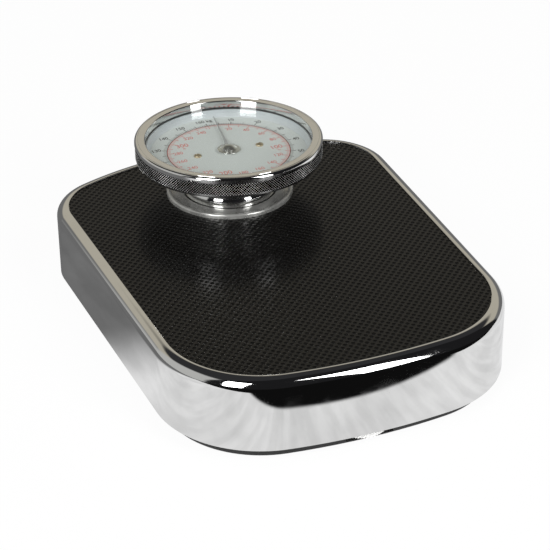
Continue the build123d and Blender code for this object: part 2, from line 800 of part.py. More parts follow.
# Neck screws: the other two screws through the case floor into the neck flange
with BuildPart() as neck_screws:
    with BuildSketch(Plane.XY.offset(case_bottom_z - case_screw_bite)):
        with Locations((0, dial_y)):
            with GridLocations(0, 2 * case_screw_circle_radius, 1, 2):
                Circle(case_screw_radius)
    extrude(amount=case_screw_bite + case_floor)
    with BuildSketch(Plane.XY.offset(case_floor_top_z)):
        with Locations((0, dial_y)):
            with GridLocations(0, 2 * case_screw_circle_radius, 1, 2):
                Circle(case_screw_head_radius)
    extrude(amount=screw_head_height)
neck_screws.part.label = "neck_screws"
export_step(neck_screws.part, "parts/neck_screws.step")

# Dial screws: two brass screws through the dial into the bridge posts
with BuildPart() as dial_screws:
    with BuildSketch(Plane.XY.offset(bridge_top_z)):
        with Locations((0, dial_y)):
            with GridLocations(2 * dial_screw_spread, 0, 2, 1):
                Circle(dial_screw_radius)
    extrude(amount=dial_top_z - bridge_top_z)
    with BuildSketch(Plane.XY.offset(dial_top_z)):
        with Locations((0, dial_y)):
            with GridLocations(2 * dial_screw_spread, 0, 2, 1):
                Circle(dial_screw_head_radius)
    extrude(amount=dial_screw_head_height)
    fillet(dial_screws.edges().group_by(Axis.Z)[-1], dial_screw_head_height / 2)
    with BuildSketch(Plane.XY.offset(dial_top_z + dial_screw_head_height)):
        with Locations((0, dial_y)):
            with GridLocations(2 * dial_screw_spread, 0, 2, 1):
                Rectangle(slot_width, 3 * dial_screw_head_radius)
    extrude(amount=-slot_depth, mode=Mode.SUBTRACT)
dial_screws.part.label = "dial_screws"
export_step(dial_screws.part, "parts/dial_screws.step")

# Spindle bush: a flanged brass bearing in the bridge boss
with BuildPart() as spindle_bush:
    with BuildSketch(dial_plane):
        with BuildLine():
            Polyline(
                (spindle_radius + running_gap, case_floor_top_z),
                (bush_radius, case_floor_top_z),
                (bush_radius, boss_top_z),
                (bush_radius + bush_flange, boss_top_z),
                (bush_radius + bush_flange, boss_top_z + bush_flange),
                (spindle_radius + running_gap, boss_top_z + bush_flange),
                close=True,
            )
        make_face()
    revolve(axis=dial_axis)
spindle_bush.part.label = "spindle_bush"
export_step(spindle_bush.part, "parts/spindle_bush.step")

# Hairspring: a flat spiral of half turns under the bridge, takes up the play of the gear
hairspring_inner_radius = hairspring_outer_radius - hairspring_half_turns * hairspring_step
with BuildPart() as hairspring:
    with BuildLine() as spiral:
        for half in range(hairspring_half_turns):
            near = hairspring_inner_radius + half * hairspring_step
            far = near + hairspring_step
            side = -1 if half % 2 else 1
            middle_x = side * (near - far) / 2
            ThreePointArc(
                (side * near, dial_y),
                (middle_x, dial_y + side * (near + far) / 2),
                (-side * far, dial_y),
            )
    with BuildSketch(Plane(origin=spiral.line @ 0, x_dir=(0, 0, 1), z_dir=spiral.line % 0)):
        Rectangle(hairspring_height, hairspring_sheet)
    sweep(transition=Transition.RIGHT)
hairspring_lift = Pos(0, 0, hairspring_z + hairspring_height / 2)
hairspring_part = hairspring_lift * hairspring.part
hairspring_part.label = "hairspring"
export_step(hairspring_part, "parts/hairspring.step")

# Hairspring collet: a brass collar pressed on the spindle inside the spiral
with BuildPart() as hairspring_collet:
    with BuildSketch(Plane.XY.offset(hairspring_z - part_gap)):
        with Locations((0, dial_y)):
            Circle(hairspring_inner_radius - hairspring_sheet - 2 * part_gap)
            Circle(spindle_radius, mode=Mode.SUBTRACT)
    extrude(amount=hairspring_height + 2 * part_gap)
hairspring_collet.part.label = "hairspring_collet"
export_step(hairspring_collet.part, "parts/hairspring_collet.step")

# Pinion frame: a bracket inside the stand with the foot bearing and a finger behind the rack
shelf_top_z = pinion_bottom_z - 2.0
upper_shelf_z = pinion_bottom_z + pinion_height + 3.0
bar_x = crank_x + crank_sheet / 2 + 0.6
finger_x = bar_x + bar_sheet + part_gap
with BuildPart() as pinion_frame:
    with BuildSketch(Plane.XZ.offset(-dial_y - frame_half_depth)):
        with BuildLine():
            Polyline(
                (frame_left_x - frame_half_depth, pan_floor_z),
                (finger_x, pan_floor_z),
                (finger_x, pan_floor_z + frame_sheet),
                (frame_left_x + frame_sheet, pan_floor_z + frame_sheet),
                (frame_left_x + frame_sheet, shelf_top_z - shelf_sheet),
                (finger_x + finger_sheet, shelf_top_z - shelf_sheet),
                (finger_x + finger_sheet, pinion_bottom_z + pinion_height),
                (finger_x, pinion_bottom_z + pinion_height),
                (finger_x, shelf_top_z),
                (frame_left_x + frame_sheet, shelf_top_z),
                (frame_left_x + frame_sheet, upper_shelf_z),
                (4 * spindle_radius, upper_shelf_z),
                (4 * spindle_radius, upper_shelf_z + frame_sheet),
                (frame_left_x, upper_shelf_z + frame_sheet),
                (frame_left_x, pan_floor_z + frame_sheet),
                (frame_left_x - frame_half_depth, pan_floor_z + frame_sheet),
                close=True,
            )
        make_face()
    extrude(amount=2 * frame_half_depth)
    with BuildSketch(Plane.XY.offset(shelf_top_z)):
        with Locations((0, dial_y)):
            Circle(spindle_radius + running_gap)
    extrude(amount=-foot_bearing_depth, mode=Mode.SUBTRACT)
    with BuildSketch(Plane.XY.offset(upper_shelf_z)):
        with Locations((0, dial_y)):
            Circle(spindle_radius + running_gap)
    extrude(amount=frame_sheet, mode=Mode.SUBTRACT)
pinion_frame.part.label = "pinion_frame"
export_step(pinion_frame.part, "parts/pinion_frame.step")

# Spindle: one long shaft from the foot bearing up through the dial
hub_flange_z = dial_top_z + 1.0
needle_z = hub_flange_z + hub_flange_sheet
dome_z = needle_z + needle_sheet
dome_shoulder_z = dome_z + 0.6
dome_top_z = lens_under_z - 0.8
dome_rise = dome_top_z - dome_shoulder_z
dome_ball_radius = (hub_dome_radius**2 + dome_rise**2) / (2 * dome_rise)
dome_ball_z = dome_top_z - dome_ball_radius
spindle_foot_z = shelf_top_z - foot_bearing_depth + part_gap
spindle_top_z = dome_z + 1.5
with BuildPart() as spindle:
    with BuildSketch(Plane.XY.offset(spindle_foot_z)):
        with Locations((0, dial_y)):
            Circle(spindle_radius)
    extrude(amount=spindle_top_z - spindle_foot_z)
spindle.part.label = "spindle"
export_step(spindle.part, "parts/spindle.step")

# Pinion: twelve slim teeth that mesh with the rack all the way
addendum = gear_module
dedendum = 1.25 * gear_module
pinion_root_radius = pitch_radius - dedendum
with BuildPart() as pinion:
    with BuildSketch(Plane.XY.offset(pinion_bottom_z)):
        with Locations((0, dial_y)):
            Circle(pinion_root_radius)
            with PolarLocations(0, pinion_teeth):
                Polygon(
                    (pinion_root_radius - 0.2, -pinion_tooth_root / 2),
                    (pitch_radius, -pinion_tooth_mid / 2),
                    (pitch_radius + addendum, -pinion_tooth_tip / 2),
                    (pitch_radius + addendum, pinion_tooth_tip / 2),
                    (pitch_radius, pinion_tooth_mid / 2),
                    (pinion_root_radius - 0.2, pinion_tooth_root / 2),
                    align=None,
                )
            Circle(spindle_radius, mode=Mode.SUBTRACT)
    extrude(amount=pinion_height)
pinion.part.label = "pinion"
export_step(pinion.part, "parts/pinion.step")

# Hub flange: a thin chrome disc under the needle
with BuildPart() as hub_flange:
    with BuildSketch(Plane.XY.offset(hub_flange_z)):
        with Locations((0, dial_y)):
            Circle(hub_flange_radius)
            Circle(spindle_radius, mode=Mode.SUBTRACT)
    extrude(amount=hub_flange_sheet)
    fillet(hub_flange.edges().group_by(Axis.Z)[-1].sort_by(SortBy.RADIUS)[-1], 0.4)
hub_flange.part.label = "hub_flange"
export_step(hub_flange.part, "parts/hub_flange.step")

# Needle: a tapered blade from the hub to near the edge of the dial
with BuildPart() as pointer_needle:
    with BuildSketch(Plane.XY.offset(needle_z)):
        with Locations(Location((0, dial_y, 0), (0, 0, -needle_rest_angle))):
            Circle(needle_eye_radius)
            Polygon(
                (-needle_root_width / 2, 0),
                (needle_root_width / 2, 0),
                (needle_tip_width / 2, needle_length),
                (-needle_tip_width / 2, needle_length),
                align=None,
            )
            Circle(spindle_radius, mode=Mode.SUBTRACT)
    extrude(amount=needle_sheet)
pointer_needle.part.label = "pointer_needle"
export_step(pointer_needle.part, "parts/pointer_needle.step")

# Hub cap: a chrome dome pressed on the spindle over the needle
with BuildPart() as hub_cap:
    with BuildSketch(dial_plane):
        with BuildLine():
            Polyline(
                (0, dome_top_z),
                (0, spindle_top_z),
                (spindle_radius, spindle_top_z),
                (spindle_radius, dome_z),
                (hub_dome_radius, dome_z),
                (hub_dome_radius, dome_shoulder_z),
            )
            ThreePointArc(
                (hub_dome_radius, dome_shoulder_z),
                (hub_dome_radius / 2, dome_ball_z + math.sqrt(dome_ball_radius**2 - hub_dome_radius**2 / 4)),
                (0, dome_top_z),
            )
        make_face()
    revolve(axis=dial_axis)
hub_cap.part.label = "hub_cap"
export_step(hub_cap.part, "parts/hub_cap.step")

# Crank bracket: a U bracket on the pan that carries the bell crank
crank_ear_inner = crank_sheet / 2 + crank_ear_gap
crank_ear_outer = crank_ear_inner + crank_ear_sheet
with BuildPart() as crank_bracket:
    with BuildSketch(Plane.YZ.offset(crank_x - crank_ear_outer)):
        with BuildLine():
            Polyline(
                (crank_y - crank_base_half_depth, pan_floor_z),
                (crank_y + crank_base_half_depth, pan_floor_z),
                (crank_y + crank_ear_radius, crank_z),
                (crank_y - crank_ear_radius, crank_z),
                close=True,
            )
        make_face()
        with Locations((crank_y, crank_z)):
            Circle(crank_ear_radius)
            Circle(crank_pin_radius, mode=Mode.SUBTRACT)
    extrude(amount=2 * crank_ear_outer)
    with BuildSketch(Plane.XY.offset(pan_floor_z + crank_ear_sheet)):
        with Locations((crank_x, crank_y)):
            Rectangle(2 * crank_ear_inner, 4 * crank_base_half_depth)
    extrude(amount=crank_z, mode=Mode.SUBTRACT)
crank_bracket.part.label = "crank_bracket"
export_step(crank_bracket.part, "parts/crank_bracket.step")

# Crank pin: held in the two ears
with BuildPart() as crank_pin:
    with BuildSketch(Plane.YZ.offset(crank_x - crank_ear_outer - crank_pin_stand_out)):
        with Locations((crank_y, crank_z)):
            Circle(crank_pin_radius)
    extrude(amount=2 * (crank_ear_outer + crank_pin_stand_out))
crank_pin.part.label = "crank_pin"
export_step(crank_pin.part, "parts/crank_pin.step")

# Bell crank: the lying arm follows the spring plate and the standing arm pushes the rack bar
crank_tip = (crank_y - crank_reach * math.cos(crank_rest), crank_z + crank_reach * math.sin(crank_rest))
crank_top = (crank_y + crank_rise * math.sin(crank_rest), crank_z + crank_rise * math.cos(crank_rest))
with BuildPart() as bell_crank:
    for arm_end, end_radius in ((crank_tip, crank_arm_end_radius), (crank_top, crank_top_radius)):
        with BuildSketch(Plane.YZ.offset(crank_x - crank_sheet / 2)):
            with Locations((crank_y, crank_z)):
                Circle(crank_eye_radius)
            with Locations(arm_end):
                Circle(end_radius)
            make_hull()
        extrude(amount=crank_sheet)
    with BuildSketch(Plane.YZ.offset(crank_x - crank_sheet / 2)):
        with Locations(crank_tip):
            Circle(crank_tip_radius)
    extrude(amount=crank_sheet)
    with BuildSketch(Plane.YZ.offset(crank_x)):
        with Locations(crank_top):
            Circle(drive_pin_radius)
    extrude(amount=bar_x + bar_sheet + part_gap - crank_x)
    with BuildSketch(Plane.YZ.offset(crank_x - crank_sheet)):
        with Locations((crank_y, crank_z)):
            Circle(crank_pin_radius + running_gap)
    extrude(amount=2 * crank_sheet, mode=Mode.SUBTRACT)
bell_crank.part.label = "bell_crank"
export_step(bell_crank.part, "parts/bell_crank.step")

# Rack bar: a flat bar with a slot for the drive pin at the front and a toothed block at the rear
slot_shift = (rack_travel - 2 * crank_rise * math.sin(crank_rest)) / 2
slot_y = crank_top[0] + slot_shift
slot_low_z = crank_top[1] - drive_pin_radius - slot_gap
slot_high_z = crank_z + crank_rise + drive_pin_radius + slot_gap
rack_slope = (rack_tooth_mid - rack_tooth_tip) / addendum
rack_tooth_root = rack_tooth_mid + rack_slope * dedendum
rack_teeth_y = [dial_y + (k + 0.5) * tooth_pitch for k in range(-spare_teeth, pinion_teeth + spare_teeth)]
rack_block_start_y = rack_teeth_y[0] - tooth_pitch / 2
rack_block_end_y = rack_teeth_y[-1] + tooth_pitch / 2
bar_bottom_z = pinion_bottom_z - 0.5
bar_front_y = slot_y - 6.0
bar_rear_y = rack_block_end_y + 2.0
with BuildPart() as rack_bar:
    with BuildSketch(Plane.YZ.offset(bar_x)):
        with Locations(((bar_front_y + bar_rear_y) / 2, bar_bottom_z + bar_height / 2)):
            Rectangle(bar_rear_y - bar_front_y, bar_height)
        with Locations((slot_y, (slot_low_z + slot_high_z) / 2)):
            Rectangle(2 * (drive_pin_radius + slot_gap), slot_high_z - slot_low_z, mode=Mode.SUBTRACT)
    extrude(amount=bar_sheet)
    with BuildSketch(Plane.XY.offset(pinion_bottom_z)):
        with BuildLine():
            Polyline(
                (pitch_radius + dedendum, rack_block_start_y),
                (bar_x, rack_block_start_y),
                (bar_x, rack_block_end_y),
                (pitch_radius + dedendum, rack_block_end_y),
                close=True,
            )
        make_face()
        with Locations(*[(pitch_radius, y) for y in rack_teeth_y]):
            Polygon(
                (-addendum, -rack_tooth_tip / 2),
                (dedendum, -rack_tooth_root / 2),
                (dedendum, rack_tooth_root / 2),
                (-addendum, rack_tooth_tip / 2),
                align=None,
            )
    extrude(amount=pinion_height)
rack_bar.part.label = "rack_bar"
export_step(rack_bar.part, "parts/rack_bar.step")

# Long lever: a closed frame from the rear fulcrum to the spring plate at the front
long_rear_y = long_fulcrum_y + long_tail
long_outer = lever_half_track + lever_thickness / 2
long_bend_y = long_fulcrum_y - long_bend_setback
long_nose_bend_y = spring_y + long_nose_setback
long_front_y = spring_y - long_nose_reach
arm_slope = (lever_half_track - nose_half_track) / (long_bend_y - long_nose_bend_y)
link_half_length = nose_half_track + arm_slope * (link_y - long_nose_bend_y)
nose_outer = nose_half_track + lever_thickness / 2
long_lever_under_z = long_lever_z - lever_height / 2
long_lever_over_z = long_lever_z + lever_height / 2
with BuildPart() as long_lever:
    with BuildSketch(Plane.XY.offset(long_lever_under_z)):
        with BuildLine():
            Polyline(
                (-long_outer, long_rear_y),
                (long_outer, long_rear_y),
                (long_outer, long_bend_y),
                (nose_outer, long_nose_bend_y),
                (nose_outer, long_front_y),
                (-nose_outer, long_front_y),
                (-nose_outer, long_nose_bend_y),
                (-long_outer, long_bend_y),
                close=True,
            )
        make_face()
        offset(amount=-lever_thickness, kind=Kind.INTERSECTION, mode=Mode.SUBTRACT)
        with Locations((0, link_y)):
            Rectangle(2 * link_half_length, lever_thickness)
    extrude(amount=lever_height)
    with BuildSketch(Plane.YZ.offset(-nose_outer)):
        with BuildLine():
            Polyline(
                (spring_y - nib_depth, long_lever_under_z),
                (spring_y - nib_depth / 6, plate_top_z + contact_gap),
                (spring_y + nib_depth / 6, plate_top_z + contact_gap),
                (spring_y + nib_depth, long_lever_under_z),
                close=True,
            )
        make_face()
    extrude(amount=lever_thickness)
    with BuildSketch(Plane.YZ.offset(nose_half_track - lever_thickness / 2)):
        with BuildLine():
            Polyline(
                (spring_y - nib_depth, long_lever_under_z),
                (spring_y - nib_depth / 6, plate_top_z + contact_gap),
                (spring_y + nib_depth / 6, plate_top_z + contact_gap),
                (spring_y + nib_depth, long_lever_under_z),
                close=True,
            )
        make_face()
    extrude(amount=lever_thickness)
    with BuildSketch(Plane.YZ.offset(-long_outer)):
        with Locations((long_fulcrum_y, long_lever_z), (long_load_y, long_lever_z)):
            Circle(lever_pin_radius)
    extrude(amount=2 * long_outer, mode=Mode.SUBTRACT)
long_lever.part.label = "long_lever"
export_step(long_lever.part, "parts/long_lever.step")

# Long lever pins: two fulcrum pins and two load pins pressed through the arms
lever_pin_length = 2 * (hanger_half_gap + hanger_sheet)
with BuildPart() as long_lever_pins:
    for side in (-1, 1):
        with BuildSketch(Plane.YZ.offset(side * lever_half_track - lever_pin_length / 2)):
            with Locations((long_fulcrum_y, long_lever_z), (long_load_y, long_lever_z)):
                Circle(lever_pin_radius)
        extrude(amount=lever_pin_length)
long_lever_pins.part.label = "long_lever_pins"
export_step(long_lever_pins.part, "parts/long_lever_pins.step")

# Short lever: two arms from the front fulcrum to the link bar of the long lever
short_front_y = short_fulcrum_y - short_tail
short_lever_under_z = short_lever_z - lever_height / 2
short_bend_y = short_fulcrum_y + short_bend_setback
short_arm_slope = (lever_half_track - short_nose_half_track) / (link_y - short_bend_y)
tie_y = link_y - tie_setback
tie_half_length = short_nose_half_track + short_arm_slope * tie_setback
tie_under_z = short_lever_under_z - 1.5
tie_top_z = bar_bottom_z - 0.5
with BuildPart() as short_lever:
    for side in (-1, 1):
        with BuildSketch(Plane.XY.offset(short_lever_under_z)):
            with BuildLine():
                Polyline(
                    (side * (lever_half_track - lever_thickness / 2), short_front_y),
                    (side * (lever_half_track - lever_thickness / 2), short_bend_y),
                    (side * (short_nose_half_track - lever_thickness / 2), link_y - lever_thickness),
                    (side * (short_nose_half_track - lever_thickness / 2), link_y + lever_thickness / 2),
                    (side * (short_nose_half_track + lever_thickness / 2), link_y + lever_thickness / 2),
                    (side * (lever_half_track + lever_thickness / 2), short_bend_y + lever_thickness / 2),
                    (side * (lever_half_track + lever_thickness / 2), short_front_y),
                    close=True,
                )
            make_face()
        extrude(amount=lever_height)
        with BuildSketch(Plane.YZ.offset(side * short_nose_half_track - lever_thickness / 2)):
            with BuildLine():
                Polyline(
                    (link_y - lever_thickness / 2, short_lever_under_z),
                    (link_y - nib_depth / 6, long_lever_over_z + contact_gap),
                    (link_y + nib_depth / 6, long_lever_over_z + contact_gap),
                    (link_y + lever_thickness / 2, short_lever_under_z),
                    close=True,
                )
            make_face()
        extrude(amount=lever_thickness)
    with BuildSketch(Plane.XY.offset(tie_under_z)):
        with Locations((0, tie_y)):
            Rectangle(2 * tie_half_length, tie_depth)
    extrude(amount=tie_top_z - tie_under_z)
    with BuildSketch(Plane.YZ.offset(-long_outer)):
        with Locations((short_fulcrum_y, short_lever_z), (short_load_y, short_lever_z)):
            Circle(lever_pin_radius)
    extrude(amount=2 * long_outer, mode=Mode.SUBTRACT)
short_lever.part.label = "short_lever"
export_step(short_lever.part, "parts/short_lever.step")

# Short lever pins: two fulcrum pins and two load pins pressed through the arms
with BuildPart() as short_lever_pins:
    for side in (-1, 1):
        with BuildSketch(Plane.YZ.offset(side * lever_half_track - lever_pin_length / 2)):
            with Locations((short_fulcrum_y, short_lever_z), (short_load_y, short_lever_z)):
                Circle(lever_pin_radius)
        extrude(amount=lever_pin_length)
short_lever_pins.part.label = "short_lever_pins"
export_step(short_lever_pins.part, "parts/short_lever_pins.step")

# Spring plate: hangs on the main spring and carries the nose of the long lever
plug_radius = spring_mean_radius - spring_wire_radius - contact_gap
with BuildPart() as spring_plate:
    with BuildSketch(Plane.XY.offset(plate_under_z)):
        with Locations((0, spring_y)):
            Rectangle(2 * plate_half_width, 2 * plate_half_depth)
    extrude(amount=plate_sheet)
    with BuildSketch(Plane.XY.offset(plate_top_z)):
        with Locations((0, spring_y)):
            Circle(plug_radius)
    extrude(amount=plug_height)
    with BuildSketch(Plane.XY.offset(plate_under_z)):
        with Locations((0, spring_y)):
            Circle(rod_radius + rod_clearance)
    extrude(amount=plate_sheet + plug_height, mode=Mode.SUBTRACT)
spring_plate.part.label = "spring_plate"
export_step(spring_plate.part, "parts/spring_plate.step")

# Main spring: an extension spring of round wire between the plate and the cap
spring_low_z = plate_top_z + spring_wire_radius + spring_end_gap
spring_high_z = spring_top_z - spring_wire_radius - spring_end_gap
with BuildPart() as main_spring:
    with BuildLine() as coil:
        Helix(
            pitch=(spring_high_z - spring_low_z) / spring_turns,
            height=spring_high_z - spring_low_z,
            radius=spring_mean_radius,
            center=(0, spring_y, spring_low_z),
        )
    with BuildSketch(Plane(origin=coil.line @ 0, z_dir=coil.line % 0)):
        RegularPolygon(spring_wire_radius, 6)
    sweep(is_frenet=True)
main_spring.part.label = "main_spring"
export_step(main_spring.part, "parts/main_spring.step")

# Spring rod: runs up from the zero wheel through the plate to the spring cap
rod_foot_z = pan_floor_z + rod_stroke + 2 * part_gap
rod_top_z = spring_top_z + 4.0
with BuildPart() as spring_rod:
    with BuildSketch(Plane.XY.offset(rod_foot_z)):
        with Locations((0, spring_y)):
            Circle(rod_radius)
    extrude(amount=rod_top_z - rod_foot_z)
    chamfer(spring_rod.edges().filter_by(GeomType.CIRCLE), 0.4)
spring_rod.part.label = "spring_rod"
export_step(spring_rod.part, "parts/spring_rod.step")

# Spring cap: a flanged plug on the rod that holds the top of the spring
with BuildPart() as spring_cap:
    with BuildSketch(Plane.XY.offset(spring_top_z - plug_height)):
        with Locations((0, spring_y)):
            Circle(plug_radius)
    extrude(amount=plug_height)
    with BuildSketch(Plane.XY.offset(spring_top_z)):
        with Locations((0, spring_y)):
            Circle(cap_radius)
    extrude(amount=cap_sheet)
    with BuildSketch(Plane.XY.offset(spring_top_z - plug_height)):
        with Locations((0, spring_y)):
            Circle(rod_radius)
    extrude(amount=plug_height + cap_sheet, mode=Mode.SUBTRACT)
spring_cap.part.label = "spring_cap"
export_step(spring_cap.part, "parts/spring_cap.step")

# Zero wheel: a serrated nylon wheel on the rod that peeps out of the notch at the front
wheel_top_z = wheel_bottom_z + wheel_thickness
serration_side = math.sqrt(2) * serration_depth
with BuildPart() as zero_wheel:
    with BuildSketch(Plane.XY.offset(wheel_bottom_z)):
        with Locations((0, spring_y)):
            Circle(wheel_radius)
            with PolarLocations(wheel_radius, wheel_teeth):
                Rectangle(serration_side, serration_side, 45, mode=Mode.SUBTRACT)
    extrude(amount=wheel_thickness)
    with BuildSketch(Plane.XY.offset(wheel_top_z)):
        with Locations((0, spring_y)):
            Circle(groove_outer_radius)
            Circle(groove_inner_radius, mode=Mode.SUBTRACT)
    extrude(amount=-groove_depth, mode=Mode.SUBTRACT)
    with BuildSketch(Plane.XY.offset(pan_floor_z + part_gap)):
        with Locations((0, spring_y)):
            Circle(hub_radius)
    extrude(amount=hub_top_z - pan_floor_z - part_gap)
    with BuildSketch(Plane.XY.offset(pan_floor_z)):
        with Locations((0, spring_y)):
            Circle(rod_radius + running_gap)
    extrude(amount=hub_top_z, mode=Mode.SUBTRACT)
zero_wheel.part.label = "zero_wheel"
export_step(zero_wheel.part, "parts/zero_wheel.step")

# Wheel keeper: a thin bridge over the wheel that steadies its hub
with BuildPart() as wheel_keeper:
    with BuildSketch(Plane.XZ.offset(-spring_y - keeper_half_depth)):
        with BuildLine():
            Polyline(
                (-keeper_half_width, pan_floor_z),
                (-keeper_half_width, wheel_top_z + part_gap + keeper_sheet),
                (keeper_half_width, wheel_top_z + part_gap + keeper_sheet),
                (keeper_half_width, pan_floor_z),
                (keeper_half_width - keeper_leg, pan_floor_z),
                (keeper_half_width - keeper_leg, wheel_top_z + part_gap),
                (keeper_leg - keeper_half_width, wheel_top_z + part_gap),
                (keeper_leg - keeper_half_width, pan_floor_z),
                close=True,
            )
        make_face()
    extrude(amount=2 * keeper_half_depth)
    with BuildSketch(Plane.XY.offset(wheel_top_z)):
        with Locations((0, spring_y)):
            Circle(hub_radius + part_gap)
    extrude(amount=keeper_leg, mode=Mode.SUBTRACT)
wheel_keeper.part.label = "wheel_keeper"
export_step(wheel_keeper.part, "parts/wheel_keeper.step")
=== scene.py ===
import json
import math

import bmesh
import bpy
from bpy.props import FloatProperty, FloatVectorProperty, IntProperty, PointerProperty
from mathutils import Matrix, Vector


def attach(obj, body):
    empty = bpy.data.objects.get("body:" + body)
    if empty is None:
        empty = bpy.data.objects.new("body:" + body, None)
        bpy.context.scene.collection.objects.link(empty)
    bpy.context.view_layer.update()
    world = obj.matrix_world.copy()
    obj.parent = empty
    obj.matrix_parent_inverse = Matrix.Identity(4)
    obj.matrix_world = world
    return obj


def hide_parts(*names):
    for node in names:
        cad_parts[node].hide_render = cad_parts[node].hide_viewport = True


bl_info = {
    "name": "Bathroom scale",
    "version": (1, 0, 0),
    "blender": (4, 5, 0),
    "location": "View3D > Sidebar > Scale",
    "description": "Dresses a mechanical bathroom scale with a raised dial",
    "category": "Object",
}

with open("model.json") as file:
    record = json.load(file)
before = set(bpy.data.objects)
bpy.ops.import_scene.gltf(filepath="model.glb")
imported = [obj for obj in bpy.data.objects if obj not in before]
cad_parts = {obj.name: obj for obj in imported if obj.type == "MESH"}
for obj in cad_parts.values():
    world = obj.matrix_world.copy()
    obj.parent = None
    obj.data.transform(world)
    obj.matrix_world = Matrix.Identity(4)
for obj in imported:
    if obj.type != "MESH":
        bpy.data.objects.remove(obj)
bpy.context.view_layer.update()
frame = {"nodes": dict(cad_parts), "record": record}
MM = 0.001
TURN = 2 * math.pi

# The dial head: heights above the floor and radii, in millimetres
GRIP_LOW, GRIP_HIGH = 109.6, 121.4
DRUM_RADIUS = 81.4
KNURL_RISE = 0.6
NECK_HOLE = 43.5
HUB_RISE = 2.6
HUB_RADIUS = 6.8
HUB_TOP = 117.8

# The print on the dial: its lift in millimetres, its scales and its letters
PRINT_LIFT = 0.03
FULL_LOAD = 160
KG_PER_LB = 0.45359237
CAPITAL_HEIGHT = 0.7
LETTER_WIDTH = 0.85

# Steps along each bow and round each corner of the platform
BOW_STEPS, CORNER_STEPS = 14, 26

# The studio, in metres, watts and times white
SOFTBOX_SIZE = (0.66, 1.15)
SOFTBOX_POWER = 10.0
SOFTBOX_GLARE = 7.0
SOFTBOX_HALF_HEIGHT = 0.43
# Edge of the painted reflection of a cloth on the floor: mirrors see black beyond it
CLOTH_EDGE = 0.272


def length(name, text, value):
    """A size that the user can change, given in millimetres."""
    return FloatProperty(name=name, description=text, default=value * MM, min=0.0, unit="LENGTH")


def colour(name, text, value):
    """A colour that the user can change."""
    return FloatVectorProperty(
        name=name, description=text, default=value, size=3, min=0, max=1, subtype="COLOR"
    )


class ScalePlatformSettings(bpy.types.PropertyGroup):
    body_length: length("Length", "Platform from the toe end to the dial end", 405.0)
    front_width: length("Front width", "Width across the front corners", 289.0)
    rear_width: length("Rear width", "Width across the rear corners", 309.5)
    front_bow: length("Front bow", "Radius of the front edge", 510.0)
    rear_bow: length("Rear bow", "Radius of the rear edge", 285.0)
    front_corner: length("Front corner", "Radius of the front corners", 90.0)
    rear_corner: length("Rear corner", "Radius of the rear corners", 61.0)
    skirt: length("Skirt height", "Lower edge of the cover above the floor", 12.7)
    rim: length("Rim height", "Top of the rim above the floor", 75.0)
    shoulder: length("Shoulder", "Radius between the wall and the rim", 9.0)
    mat_inset: length("Mat inset", "Rim width in plan", 10.7)
    recess: length("Recess", "Depth of the panel under the rim", 3.0)
    sheet: length("Sheet", "Thickness of the pressed sheet", 1.2)
    chrome: colour("Chrome", "Colour of the bright plating", (0.83, 0.83, 0.82))
    mat: colour("Mat", "Colour of the rubber mat", (0.004, 0.0037, 0.0034))
    pit_pitch: length("Pit pitch", "Distance between two pits in a row of the mat", 6.8)


class ScaleDialSettings(bpy.types.PropertyGroup):
    centre: length("Dial position", "Distance of the dial from the middle of the platform", 112.0)
    face: length("Face height", "Top of the printed dial above the floor", 112.0)
    knurls: IntProperty(
        name="Knurls", description="Diamonds round the case", default=220, min=60, max=300
    )
    knurl_rows: IntProperty(
        name="Knurl rows", description="Diamonds up the case", default=5, min=2, max=20
    )
    paper: colour("Dial face", "Colour of the dial face", (0.66, 0.68, 0.67))
    ink: colour("Ink", "Black print", (0.02, 0.02, 0.02))
    red: colour("Red ink", "Red print", (0.60, 0.15, 0.13))


class ScaleStageSettings(bpy.types.PropertyGroup):
    floor: colour("Floor", "Colour of the floor", (0.86, 0.86, 0.86))
    distance: length("Camera distance", "Camera to the middle of the object", 1703.34)


class Wire:
    """A socket that can be used in sums."""

    def __init__(self, finish, socket):
        self.finish = finish
        self.socket = socket

    def sum(self, operation, *others):
        """The result of a Math node."""
        values = dict(enumerate((self, *others)))
        made = self.finish.node("ShaderNodeMath", {"operation": operation}, values)
        return Wire(self.finish, made.outputs[0])

    def __add__(self, other):
        return self.sum("ADD", other)

    __radd__ = __add__

    def __mul__(self, other):
        return self.sum("MULTIPLY", other)

    __rmul__ = __mul__

    def __sub__(self, other):
        return self.sum("SUBTRACT", other)

    def __rsub__(self, other):
        return (self * -1.0) + other

    def __truediv__(self, other):
        return self.sum("DIVIDE", other)

    def __pow__(self, other):
        return self.sum("POWER", other)

    def __lt__(self, other):
        return self.sum("LESS_THAN", other)

    def __gt__(self, other):
        return self.sum("GREATER_THAN", other)

    def step(self, low, high):
        """Rises smoothly from 0 at low to 1 at high."""
        made = self.finish.node(
            "ShaderNodeMapRange",
            {"interpolation_type": "SMOOTHSTEP"},
            {"Value": self, "From Min": low, "From Max": high},
        )
        return Wire(self.finish, made.outputs[0])


